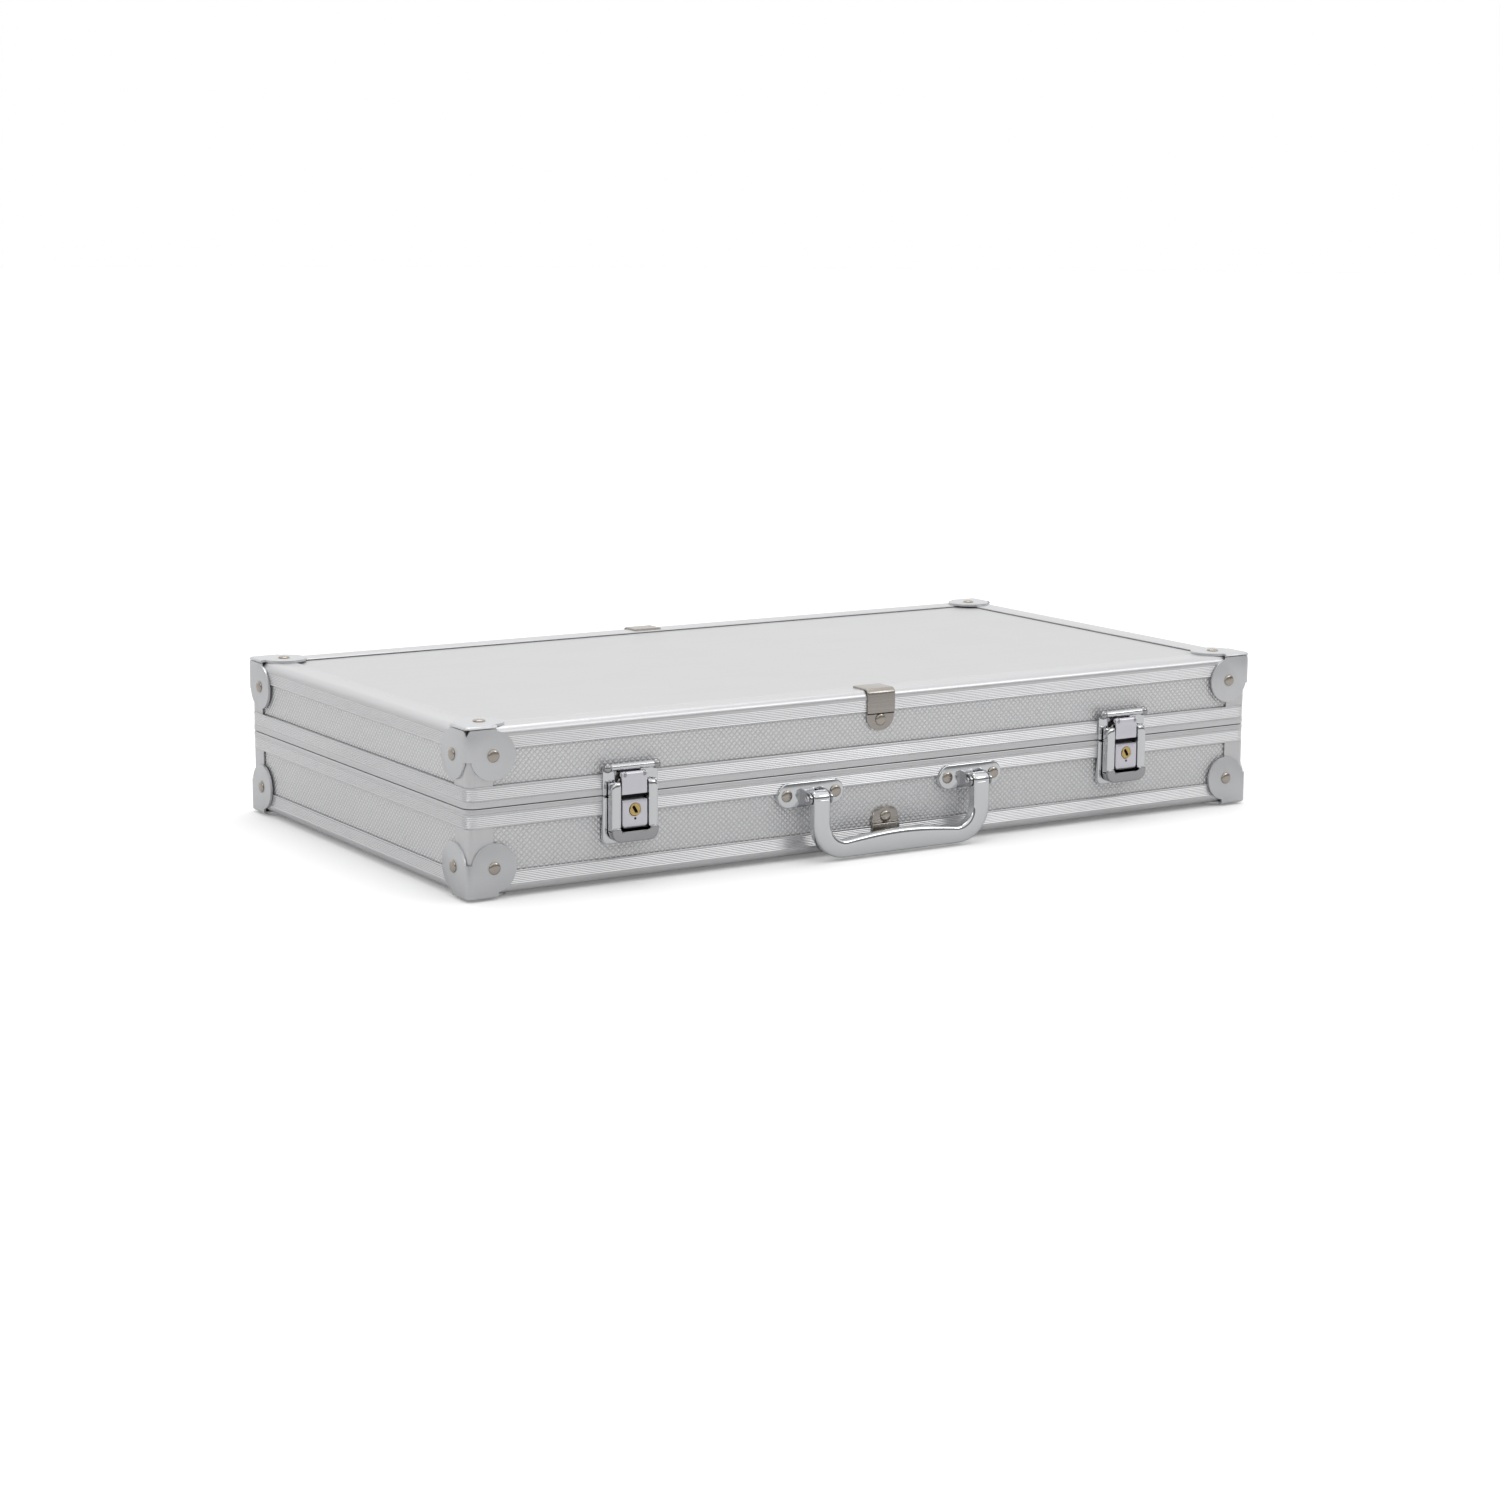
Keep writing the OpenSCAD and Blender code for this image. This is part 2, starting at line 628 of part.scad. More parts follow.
place() at_arm(-1) bracket();  // left_handle_bracket
place() at_arm(1) bracket();  // right_handle_bracket
place() bracket_pins();  // handle_pins
place() bracket_rivets();
place() as_lid() color("gainsboro") face_panel();  // lid_panel
place() as_lid() color("gainsboro") long_wall(lid_h);  // lid_front_wall
place() as_lid() color("gainsboro") mirror([0, 1, 0]) long_wall(lid_h);  // lid_back_wall
place() as_lid() color("gainsboro") short_wall(lid_h);  // lid_left_wall
place() as_lid() color("gainsboro") mirror([1, 0, 0]) short_wall(lid_h);  // lid_right_wall
place() as_lid() color("silver") long_trim();  // lid_front_trim
place() as_lid() color("silver") mirror([0, 1, 0]) long_trim();  // lid_back_trim
place() as_lid() color("silver") short_trim();  // lid_left_trim
place() as_lid() color("silver") mirror([1, 0, 0]) short_trim();  // lid_right_trim
place() as_lid() color("silver") rim(lid_h, lid_rim_h, false);  // lid_rim
place() as_lid() color("silver") posts(lid_h, lid_rim_h);  // lid_corner_posts
place() as_lid() color("lightsteelblue") caps();  // lid_corner_caps
place() as_lid() color("tan") half_rivets(lid_clip_x);  // lid_rivets
place() as_lid() color("lightgray") clip_pair(lid_clip_x);  // lid_clips
place() as_lid() lining();  // lid_lining
place() lid_leaves();  // hinge_lid_leaves
place() hinge_rivets(true);  // hinge_lid_rivets
place() at_latch(-1) keeper();  // left_keeper
place() at_latch(1) keeper();  // right_keeper
place() keeper_rivets();
place() bail();  // handle
place() at_latch(-1) lever();  // left_lever
place() at_latch(1) lever();  // right_lever
place() at_latch(-1) hook_pin();  // left_hook_pin
place() at_latch(1) hook_pin();  // right_hook_pin
place() at_latch(-1) hook();  // left_hook
place() at_latch(1) hook();  // right_hook
place() at_latch(-1) lock_plug();  // left_lock_plug
place() at_latch(1) lock_plug();  // right_lock_plug
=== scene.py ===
"""Poker chip case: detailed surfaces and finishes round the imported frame, with a plain studio."""

import math

import bmesh
import bpy
import numpy as np
from bpy.props import FloatProperty, FloatVectorProperty, PointerProperty
from bpy.types import Operator, Panel, PropertyGroup
from mathutils import Matrix, Vector


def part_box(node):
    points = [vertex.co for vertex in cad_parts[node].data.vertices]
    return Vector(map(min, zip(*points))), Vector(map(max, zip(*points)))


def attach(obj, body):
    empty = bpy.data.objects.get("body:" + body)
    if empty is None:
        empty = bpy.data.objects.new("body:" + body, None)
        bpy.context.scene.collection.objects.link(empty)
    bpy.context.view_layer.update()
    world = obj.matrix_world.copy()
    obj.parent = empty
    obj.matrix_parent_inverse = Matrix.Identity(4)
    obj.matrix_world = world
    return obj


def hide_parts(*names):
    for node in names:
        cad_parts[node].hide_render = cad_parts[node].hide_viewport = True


bl_info = {
    "name": "Poker Chip Case",
    "version": (1, 0, 0),
    "blender": (4, 5, 0),
    "location": "3D View > Sidebar > Chip Case",
    "description": "Builds a chip case with its trims, caps, latches, handle, hinges and trays",
    "category": "Add Mesh",
}

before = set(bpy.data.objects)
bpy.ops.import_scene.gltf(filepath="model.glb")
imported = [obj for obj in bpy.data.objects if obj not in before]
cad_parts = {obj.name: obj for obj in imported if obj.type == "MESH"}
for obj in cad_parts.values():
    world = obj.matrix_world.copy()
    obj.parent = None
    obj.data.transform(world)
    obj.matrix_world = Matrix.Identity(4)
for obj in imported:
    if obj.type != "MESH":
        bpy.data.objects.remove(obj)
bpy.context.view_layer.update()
MM = 0.001


def box_mm(*nodes):
    """Lowest and highest corner of some nodes together, in millimetres."""
    corners = np.array([[list(c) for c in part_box(node)] for node in nodes]) / MM
    return corners[:, 0].min(0), corners[:, 1].max(0)


CAPS_LOW, CAPS_HIGH = box_mm("base_corner_caps", "lid_corner_caps")
MID_Y = (CAPS_LOW[1] + CAPS_HIGH[1]) / 2
HALF_W = CAPS_HIGH[0]
HALF_D = CAPS_HIGH[1] - MID_Y
WALL_X = box_mm("base_right_wall")[1][0]
WALL_Y = box_mm("base_back_wall")[1][1] - MID_Y
HINGE_LOW, HINGE_HIGH = box_mm("hinge_pins")
HINGE_W = 40.0
HINGE_X = HINGE_HIGH[0] - HINGE_W / 2
SEAM = float(HINGE_LOW[2] + HINGE_HIGH[2]) / 2
LID_RIM = box_mm("lid_rim")
BASE_RIM = box_mm("base_rim")
HALVES = {"base": (CAPS_LOW[2], 1), "lid": (CAPS_HIGH[2], -1)}
SIDES = {
    "front": ((1, 0, 0), (0, -1, 0), WALL_Y),
    "back": ((-1, 0, 0), (0, 1, 0), WALL_Y),
    "left": ((0, -1, 0), (-1, 0, 0), WALL_X),
    "right": ((0, 1, 0), (1, 0, 0), WALL_X),
}
LATCH_X = float(np.mean([c[0] for c in box_mm("right_latch_plate")]))
LATCHES = (("left", -LATCH_X), ("right", LATCH_X))
ARMS_LOW, ARMS_HIGH = box_mm("handle")
HANDLE_X = (ARMS_LOW[0] + ARMS_HIGH[0]) / 2
PIN_LOW, PIN_HIGH = box_mm("handle_pins")
PIVOT_Z = (PIN_LOW[2] + PIN_HIGH[2]) / 2
PIVOT_OUT = MID_Y - WALL_Y - (PIN_LOW[1] + PIN_HIGH[1]) / 2

# Places on the fittings, in millimetres: up from the seam, out from the wall and, where the name
# ends in X, away from the fitting's middle.
RIM_EDGE, RIM_FRONT, WALL_FRONT = -7.7, 1.43, 0.03
LATCH_FRONT = 2.2
LEVER_PIVOT, HOOK_PIN = (4.6, 3.8), (1.2, 3.8)
KEEPER_ROLL, HOOK_CURL = (11.0, 3.0), (8.1, 4.62)
EAR_X = 7.7
LOCK_Z, LOCK_LOW, LOCK_HIGH, LOCK_FRONT = -5.9, -13.4, -1.9, 5.8
LEVER_FRONT, LEVER_FOOT, PULL_FRONT = 6.0, -14.5, 6.6
BRACKET_FRONT, BRACKET_RIVET_X = 2.4, 11.7
HINGE_PIN_OUT, HINGE_FRONT = 3.75, 2.4
CLIP_T, CLIP_RIVET = 0.8, 13.2
# The trays: a channel's radius, the ridge between two, the height of its axis over the tray's
# top and half its length; half the width and the length of the card wells and of the dice slot,
# and the depth of all three.
CHANNEL_R, CHANNEL_RIDGE, CHANNEL_RISE, CHANNEL_REACH = 20.25, 2.0, 2.6, 85.5
CARD_HALF, CARD_LONG, DICE_HALF, DICE_LONG, WELL_DEEP = 45.5, 66.0, 41.0, 17.5, 17.0
CORNERS = ((1, 1), (1, -1), (-1, 1), (-1, -1))
FLAT_RUN = 12

# ---- Sizes and colours that a user may change ----


def length(value, name, text):
    """A size property, given in millimetres and kept in metres."""
    return FloatProperty(
        name=name, description=text, default=value * MM, min=0, unit="LENGTH", precision=5
    )


def colour(value, name, text):
    """A colour property, in scene-linear red, green and blue."""
    return FloatVectorProperty(
        name=name, description=text, default=value, size=3, min=0, max=1, subtype="COLOR"
    )


class ChipCaseShell(PropertyGroup):
    panel_t: length(4, "Board thickness", "Thickness of the wall, lid and bottom boards")
    skin_t: length(0.8, "Skin", "Thickness of the trims and posts over the boards")
    trim_face: length(12.5, "Trim over face", "Reach of an edge trim over lid or bottom")
    trim_side: length(8.8, "Trim over wall", "Reach of an edge trim over the walls")
    edge_r: length(3, "Edge radius", "Outer radius of trims and posts")
    post_w: length(11, "Post width", "Width of a corner post on each wall")
    rim_web: length(1.2, "Rim web", "Thickness of a rim's webs")
    rim_r: length(5, "Rim radius", "Radius of the rims round the corners")
    lip_h: length(2, "Lip", "Height of the base rim's lip inside the lid")
    lip_gap: length(0.4, "Lip gap", "Gap round the lip")
    rib_pitch: length(0.72, "Rib pitch", "Distance between two ribs of the extrusions")
    lift: length(0.3, "Shadow gap", "Gap under the free edges of trims and rims")
    rib_deep: length(0.2, "Rib depth", "Depth of the grooves between the ribs")
    emboss_x: length(2.46, "Diamond width", "Width of an embossed diamond")
    emboss_z: length(2.4, "Diamond height", "Height of an embossed diamond")
    emboss_deep: length(0.26, "Diamond depth", "Depth of the embossing")


class ChipCaseFittings(PropertyGroup):
    cap_t: length(1, "Cap thickness", "Thickness of a corner cap")
    lobe_c: length(11.7, "Lobe centre", "Distance of a lobe's centre from its two edges")
    lobe_r: length(9.6, "Lobe radius", "Radius of a cap's lobes")
    wrap: length(13.5, "Wrap", "How far a cap wraps along each edge")
    clip_w: length(13.4, "Clip width", "Width of an edge clip")
    clip_h: length(17.5, "Clip height", "Height of an edge clip on the wall")
    clip_face: length(10.5, "Clip over face", "Reach of a clip over lid or bottom")
    rivet_r: length(2.5, "Rivet radius", "Radius of a rivet head")
    rivet_h: length(0.9, "Rivet height", "Height of a rivet head")
    plate_w: length(24.4, "Latch width", "Width of the latch plates")
    plate_h: length(19.5, "Latch height", "Height of the latch plate on the base")
    lever_w: length(20.8, "Lever width", "Width of the latch lever")
    window_w: length(12.3, "Lever window", "Width between the lever's legs")
    tongue_w: length(11.2, "Hook width", "Width of the hook and the lock")
    plug_r: length(2.5, "Plug radius", "Radius of the lock plug")
    arm_w: length(8, "Arm width", "Width of the handle's arms")
    bail_t: length(5, "Handle thickness", "Front to back thickness of the handle")
    leaf_h: length(9.6, "Leaf height", "Height of a hinge leaf")
    hinge_w: length(HINGE_W, "Hinge length", "Length of a hinge")


class ChipCaseLook(PropertyGroup):
    face: colour((0.60, 0.60, 0.605), "Face sheet", "Smooth sheet of the lid and the bottom")
    skin: colour((0.77, 0.77, 0.78), "Embossed sheet", "Embossed sheet of the walls")
    trim: colour((0.66, 0.66, 0.67), "Extrusions", "Ribbed trims and rims")
    cap: colour((0.64, 0.645, 0.655), "Corner caps", "Zinc-plated caps")
    rivet: colour((0.46, 0.42, 0.37), "Rivets", "Warm nickel of the rivets")
    clip: colour((0.42, 0.39, 0.36), "Edge clips", "Dull nickel of the clips")
    chrome: colour((0.70, 0.71, 0.725), "Chrome", "Bright plate of the latches and the handle")
    # Painted shade: chrome darkened to 0.40 for the lever's bar and flanges, the balls and the
    # brackets' ears
    pull: colour((0.40, 0.40, 0.41), "Finger pull", "Painted-shade chrome of the bar of each latch lever")
    lock: colour((0.68, 0.67, 0.72), "Lock", "Satin plate of the lock")
    brass: colour((0.60, 0.44, 0.18), "Brass", "Lock plugs")
    flock: colour((0.012, 0.012, 0.014), "Flocking", "Flocked trays and lining")


def sizes(group):
    """All lengths of a property group, in millimetres, as attributes."""
    names = type(group).__annotations__
    return type("Sizes", (), {n: getattr(group, n) / MM for n in names})


# ---- Surfaces: outlines are (points, 2), rings are (rings, points, 3), all in millimetres ----


def arc(centre, radius, start, end, n=8):
    """Centre plus radius times (cos, sin) of angles evenly spaced in degrees."""
    a = np.radians(np.linspace(start, end, n + 1))
    return np.array(centre) + radius * np.stack([np.cos(a), np.sin(a)], 1)


def rounded(corners, n=5):
    """A closed outline through corners (x, y, radius). Each corner gives way to an arc that
    touches both of its edges: centre on the bisector, radius / sin(half the angle) away."""
    pts = np.array([c[:2] for c in corners], float)
    out = []
    for i, corner in enumerate(corners):
        here, r = pts[i], corner[2]
        if r <= 0:
            out.append(here[None])
            continue
        u, v = pts[i - 1] - here, pts[(i + 1) % len(pts)] - here
        u, v = u / np.linalg.norm(u), v / np.linalg.norm(v)
        half = math.acos(np.clip(u @ v, -1, 1)) / 2
        mid = (u + v) / np.linalg.norm(u + v)
        centre = here + mid * r / math.sin(half)
        a, b = here + u * r / math.tan(half) - centre, here + v * r / math.tan(half) - centre
        turn = math.atan2(a[0] * b[1] - a[1] * b[0], a @ b)
        t = math.atan2(a[1], a[0]) + turn * np.linspace(0, 1, n)
        out.append(centre + r * np.stack([np.cos(t), np.sin(t)], 1))
    return np.concatenate(out)


def oblong(w, h, r, x=0, y=0, n=5):
    """A rectangle w by h about (x, y) with its corners rounded to r, anticlockwise."""
    a, b = w / 2, h / 2
    return rounded([(x - a, y - b, r), (x + a, y - b, r), (x + a, y + b, r), (x - a, y + b, r)], n)


def inset(outline, d):
    """Each point of an anticlockwise outline moved inwards by d along its mitre, which is the
    sum of the two unit edge normals over one plus their dot product."""
    edge = np.roll(outline, -1, 0) - outline
    edge /= np.maximum(np.linalg.norm(edge, axis=1, keepdims=True), 1e-9)
    n2 = np.stack([-edge[:, 1], edge[:, 0]], 1)
    n1 = np.roll(n2, 1, 0)
    mitre = (n1 + n2) / np.maximum(1 + (n1 * n2).sum(1, keepdims=True), 0.4)
    return outline + mitre * d


def at_height(outline, z):
    """An outline laid at height z, or at one height for each point."""
    return np.column_stack([outline, np.broadcast_to(z, len(outline))])


def plate(outline, low, high, soft=0.3, steps=3):
    """Rings of a plate with a rounded front edge: full outline from low to high - soft, then
    inset soft (1 - cos a) at height high - soft + soft sin a."""
    edge = high - soft
    return np.array([at_height(outline, low)] + [
        at_height(inset(outline, soft * (1 - math.cos(t))), edge + soft * math.sin(t))
        for t in np.radians(np.linspace(0, 90, steps + 1))])


def seated(rings):
    """Lays the rear edge of a plate on the wall, or on the rim where it is above its edge."""
    rings[0, :, 2] = np.where(rings[0, :, 1] > RIM_EDGE, RIM_FRONT, WALL_FRONT)
    return rings


def turned(profile, centre=(0, 0, 0), axis="z", n=32):
    """A profile of (radius, distance along the axis) turned round an axis through centre."""
    p = np.array(profile, float)
    t = np.linspace(0, 2 * np.pi, n, endpoint=False)
    u, v = p[:, :1] * np.cos(t), p[:, :1] * np.sin(t)
    w = np.broadcast_to(p[:, 1:], u.shape)
    order = {"z": (u, v, w), "x": (w, u, v), "y": (v, w, u)}[axis]
    return np.stack(order, -1) + np.array(centre, float)


def dome(r, h, n=6):
    """Profile of a rivet head: radius r cos(a)^0.8 at height h (0.2 + 0.8 sin a), on a narrower
    foot that leaves a dark ring round it."""
    foot = [(0.86 * r, 0), (0.87 * r, 0.16 * h)]
    return foot + [(r * math.cos(t) ** 0.8, h * (0.2 + 0.8 * math.sin(t)))
                   for t in np.radians(np.linspace(0, 82, n))]


def barrel(half, r, soft):
    """Profile of a rod from -half to half with its ends rounded by soft."""
    a = np.radians(np.linspace(0, 90, 5))
    end = [(r - soft * (1 - math.cos(t)), half - soft + soft * math.sin(t)) for t in a]
    return [(q, -w) for q, w in end[::-1]] + end


def along_x(profile, x0, x1, soft=0.2):
    """A closed profile of (y, z) carried from x0 to x1, drawn in by soft at both ends. The sign
    of its area, half the sum of the cross products of neighbours, says which way is in."""
    after = np.roll(profile, -1, 0)
    area = (profile[:, 0] * after[:, 1] - profile[:, 1] * after[:, 0]).sum()
    small = inset(profile, math.copysign(soft, area))
    rows = [(small, x0), (profile, x0 + soft), (profile, x1 - soft), (small, x1)]
    return np.array([np.column_stack([np.full(len(p), x), p]) for p, x in rows])


def thick_line(path, t):
    """A closed profile of thickness t about an open path, from normals of central differences."""
    step = np.gradient(path, axis=0)
    step /= np.linalg.norm(step, axis=1, keepdims=True)
    n = np.stack([-step[:, 1], step[:, 0]], 1) * t / 2
    return np.concatenate([path + n, (path - n)[::-1]])


def ball_cap(x, r, start, end, n):
    """Profile of the part of a ball about x on the axis, between two angles in degrees: radius
    r cos a at distance x + r sin a, where a negative x mirrors it."""
    a = np.radians(np.linspace(start, end, n))
    return np.stack([r * np.cos(a), x + math.copysign(r, x) * np.sin(a)], 1)


def yoke(inner, outer, across, depth):
    """Rings along a U-shaped bar. Station i, section point j: inner + (outer - inner) * across,
    at depth[i, j]."""
    flat = inner[:, None] + (outer - inner)[:, None] * across[..., None]
    return np.concatenate([flat, np.broadcast_to(depth, flat.shape[:2])[..., None]], -1)


def smooth(t):
    """Smoothstep: 3 t^2 - 2 t^3, with t held between 0 and 1."""
    t = np.clip(t, 0, 1)
    return t * t * (3 - 2 * t)


def ribs(start, end, pitch, deep):
    """(place, depth) down a ribbed face: half a cosine wave of the given pitch and depth."""
    n = max(1, round(abs(end - start) / pitch))
    t = np.linspace(0, n, 4 * n + 1)
    return np.stack([start + (end - start) * t / n, deep * (0.5 - 0.5 * np.cos(2 * np.pi * t))], 1)


def grid_faces(n, m):
    """The numbers of the points of an n by m grid, and its cells as faces of four."""
    i = np.arange(n * m).reshape(n, m)
    return i, np.stack([i[:-1, :-1], i[:-1, 1:], i[1:, 1:], i[1:, :-1]], -1).reshape(-1, 4)


class Shape:
    """One mesh in the making. turn and place carry local points into the row frame."""

    def __init__(self):
        self.points, self.faces, self.looks, self.count = [], [], [], 0
        self.turn, self.place = np.eye(3), np.zeros(3)

    def put(self, turn, place):
        """Sets the axes, as rows, and the origin of the points that follow."""
        self.turn, self.place = np.array(turn, float), np.array(place, float)
        return self

    def on_wall(self, side, x=0.0, half=None):
        """Local x along the wall, y up from the seam (or away from a half's outer face), z out."""
        along, out, reach = SIDES[side]
        base, up = HALVES[half] if half else (SEAM, 1)
        place = np.array([0, MID_Y, base]) + np.array(out) * reach + np.array(along) * x
        return self.put([along, (0, 0, up), out], place)

    def at_corner(self, sx, sy, half):
        """Local x and y inwards from the caps' faces, z inwards from a half's outer face."""
        base, up = HALVES[half]
        return self.put(np.diag([-sx, -sy, up]), (sx * HALF_W, MID_Y + sy * HALF_D, base))

    def add(self, points, faces, look=0, outwards=None):
        """Adds faces, turned so that a closed solid's volume is positive, or so that they look
        away from the point outwards."""
        p = np.asarray(points, float).reshape(-1, 3) @ self.turn + self.place
        total = 0.0
        centre = p.mean(0) if outwards is None else np.asarray(outwards, float)
        for f in faces:
            f = np.asarray(f).reshape(-1, np.shape(f)[-1])
            for k in range(1, f.shape[1] - 1):
                a, b, c = (p[f[:, i]] - centre for i in (0, k, k + 1))
                total += (a * np.cross(b, c)).sum()
        for f in faces:
            f = np.asarray(f).reshape(-1, np.shape(f)[-1]) + self.count
            self.faces += (f if total > 0 else f[:, ::-1]).tolist()
            self.looks += [look] * len(f)
        self.points.append(p)
        self.count += len(p)
        return self

    def skin(self, rings, look=0):
        """Skins closed rings one after another and closes both ends with a face."""
        rings = np.asarray(rings)
        n, m = rings.shape[:2]
        i = np.arange(n * m).reshape(n, m)
        j = np.roll(i, -1, 1)
        quads = np.stack([i[:-1], j[:-1], j[1:], i[1:]], -1).reshape(-1, 4)
        return self.add(rings, [quads, i[0][::-1], i[-1]], look)

    def torus(self, rings, look=0):
        """Skins closed rings one after another and the last one back to the first."""
        n, m = rings.shape[:2]
        i = np.arange(n * m).reshape(n, m)
        j, k = np.roll(i, -1, 1), np.roll(i, -1, 0)
        quads = np.stack([i, j, np.roll(j, -1, 0), k], -1).reshape(-1, 4)
        return self.add(rings, [quads], look)

    def slab(self, top, low, deep=None, under=0):
        """A solid with the grid top as its upper face and flat at z = low below, with look under
        there. deep marks grid points that lie deep: each cell is folded along that diagonal."""
        n, m = top.shape[:2]
        i = np.arange(n * m).reshape(n, m)
        a, b, c, d = i[:-1, :-1], i[1:, :-1], i[1:, 1:], i[:-1, 1:]
        if deep is None:
            cells = [np.stack([a, b, c, d], -1).reshape(-1, 4)]
        else:
            fold = deep[:-1, :-1, None]
            one = np.where(fold, np.stack([a, b, c], -1), np.stack([a, b, d], -1))
            two = np.where(fold, np.stack([a, c, d], -1), np.stack([b, c, d], -1))
            cells = [one.reshape(-1, 3), two.reshape(-1, 3)]
        edge = np.concatenate([i[:-1, 0], i[-1, :-1], i[:0:-1, -1], i[0, :0:-1]])
        foot = top.reshape(-1, 3)[edge].copy()
        foot[:, 2] = low
        ring = np.arange(len(edge)) + n * m
        walls = np.stack([edge, ring, np.roll(ring, -1), np.roll(edge, -1)], -1)
        self.add(np.concatenate([top.reshape(-1, 3), foot]), [*cells, walls, ring[::-1]])
        self.looks[-1] = under

    def make(self, name, materials, body, slot, *nodes, sharp=32):
        """Builds the object, in metres at the origin, hides the nodes it stands for and hangs it on
        the empty of its body.
        """
        mesh = bpy.data.meshes.new(name)
        mesh.from_pydata((np.concatenate(self.points) * MM).tolist(), [], self.faces)
        mesh.polygons.foreach_set("material_index", self.looks)
        mesh.polygons.foreach_set("use_smooth", [True] * len(self.faces))
        for material in materials:
            mesh.materials.append(material)
        mesh.update()
        mesh.set_sharp_from_angle(angle=math.radians(sharp))
        obj = bpy.data.objects.new(name, mesh)
        bpy.context.scene.collection.objects.link(obj)
        if nodes:
            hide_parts(*nodes)
        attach(obj, body)
        return obj


# ---- Finishes ----


class Graph:
    """Short hand for wiring nodes: every argument is a socket or a plain value."""

    def __init__(self, tree):
        self.tree, self.nodes = tree, tree.nodes

    def node(self, kind, inputs=None, **settings):
        n = self.nodes.new(kind)
        for key, value in settings.items():
            setattr(n, key, value)
        for key, value in (inputs or {}).items():
            if isinstance(value, bpy.types.NodeSocket):
                self.join(value, n.inputs[key])
            else:
                n.inputs[key].default_value = value
        return n

    def maths(self, operation, *values):
        """One sum on plain numbers."""
        n = self.node("ShaderNodeMath", dict(enumerate(values)), operation=operation)
        return n.outputs[0]

    def shaded(self, tint, shade):
        """A colour times a shade."""
        return self.node("ShaderNodeVectorMath", {0: tint, 1: self.grey(shade)},
                         operation="MULTIPLY").outputs[0]

    def grey(self, shade):
        """A shade on all three channels."""
        return self.node("ShaderNodeCombineXYZ", {0: shade, 1: shade, 2: shade}).outputs[0]

    def noise(self, at, scale, detail):
        return self.node("ShaderNodeTexNoise", {"Vector": at, "Scale": scale, "Detail": detail}
                         ).outputs[0]

    def bump(self, height, strength, distance):
        return self.node("ShaderNodeBump", {"Strength": strength, "Distance": distance,
                                            "Height": height}).outputs[0]

    def join(self, source, target):
        self.tree.links.new(source, target)


def group(name, inputs, outputs):
    """A node group with named sockets; returns its graph, its input node and its output node."""
    tree = bpy.data.node_groups.new(name, "ShaderNodeTree")
    for key, (kind, value) in inputs.items():
        socket = tree.interface.new_socket(key, in_out="INPUT", socket_type=kind)
        if value is not None:
            socket.default_value = value
    for key, kind in outputs.items():
        tree.interface.new_socket(key, in_out="OUTPUT", socket_type=kind)
    g = Graph(tree)
    return g, g.node("NodeGroupInput").outputs, g.node("NodeGroupOutput").inputs


FLOAT, VECTOR, COLOUR = "NodeSocketFloat", "NodeSocketVector", "NodeSocketColor"
EVEN = (1500, 1500, 1500)


def grained_metal():
    """Rolled or brushed metal: streaks are noise stretched along the grain, clouds are broad
    noise. Both shift the roughness and the colour a little, and the streaks lift the surface."""
    g, i, o = group(
        "Grained metal",
        {
            "Colour": (COLOUR, (0.8, 0.8, 0.8, 1)),
            "Stretch": (VECTOR, (60, 4000, 4000)),
            "Roughness": (FLOAT, 0.3),
            "Streak": (FLOAT, 0.1),
            "Cloud": (FLOAT, 0.1),
            "Lift": (FLOAT, 0.1),
        },
        {"Colour": COLOUR, "Roughness": FLOAT, "Normal": VECTOR},
    )
    at = g.node("ShaderNodeTexCoord").outputs["Object"]
    along = g.node("ShaderNodeVectorMath", {0: at, 1: i["Stretch"]}, operation="MULTIPLY")
    streak = g.noise(along.outputs[0], 1.0, 2.0)
    cloud = g.noise(at, 28.0, 3.0)
    streaks = g.maths("MULTIPLY", g.maths("SUBTRACT", streak, 0.5), i["Streak"])
    clouds = g.maths("MULTIPLY", g.maths("SUBTRACT", cloud, 0.5), i["Cloud"])
    change = g.maths("ADD", streaks, clouds)
    rough = g.maths("ADD", i["Roughness"], change)
    shade = g.maths("SUBTRACT", 1.0, g.maths("MULTIPLY", change, 0.6))
    kept = g.node("ShaderNodeClamp", {0: rough, 1: 0.03, 2: 1.0}).outputs[0]
    g.join(g.shaded(i["Colour"], shade), o["Colour"])
    g.join(kept, o["Roughness"])
    g.join(g.bump(streak, i["Lift"], 0.0001), o["Normal"])
    return g.tree


def flocked_fibre():
    """Short fibres: fine noise for the tips, and a slow noise for the way they lie."""
    g, i, o = group(
        "Flocked fibre",
        {"Colour": (COLOUR, (0.02, 0.02, 0.02, 1)), "Size": (FLOAT, 3000.0)},
        {"Colour": COLOUR, "Normal": VECTOR},
    )
    at = g.node("ShaderNodeTexCoord").outputs["Object"]
    tips = g.noise(at, i["Size"], 2.0)
    lie = g.noise(at, 45.0, 2.0)
    shade = g.maths("ADD", g.maths("MULTIPLY", tips, 1.2), g.maths("MULTIPLY", lie, 0.9))
    g.join(g.shaded(i["Colour"], shade), o["Colour"])
    g.join(g.bump(tips, 0.6, 0.0003), o["Normal"])
    return g.tree


def finish(name, fill, values):
    """A material whose shader is fed by the group that fill builds once, with its own values.
    Returns the material and the shader's inputs."""
    material = bpy.data.materials.new(name)
    material.use_nodes = True
    g = Graph(material.node_tree)
    bsdf = g.nodes["Principled BSDF"]
    label = fill.__name__.replace("_", " ").capitalize()
    tree = bpy.data.node_groups.get(label) or fill()
    n = g.node("ShaderNodeGroup", node_tree=tree)
    for key, value in values.items():
        n.inputs[key].default_value = value
    for source, target in (("Colour", "Base Color"), ("Roughness", "Roughness"),
                           ("Normal", "Normal")):
        if source in n.outputs:
            g.join(n.outputs[source], bsdf.inputs[target])
    return material, bsdf.inputs


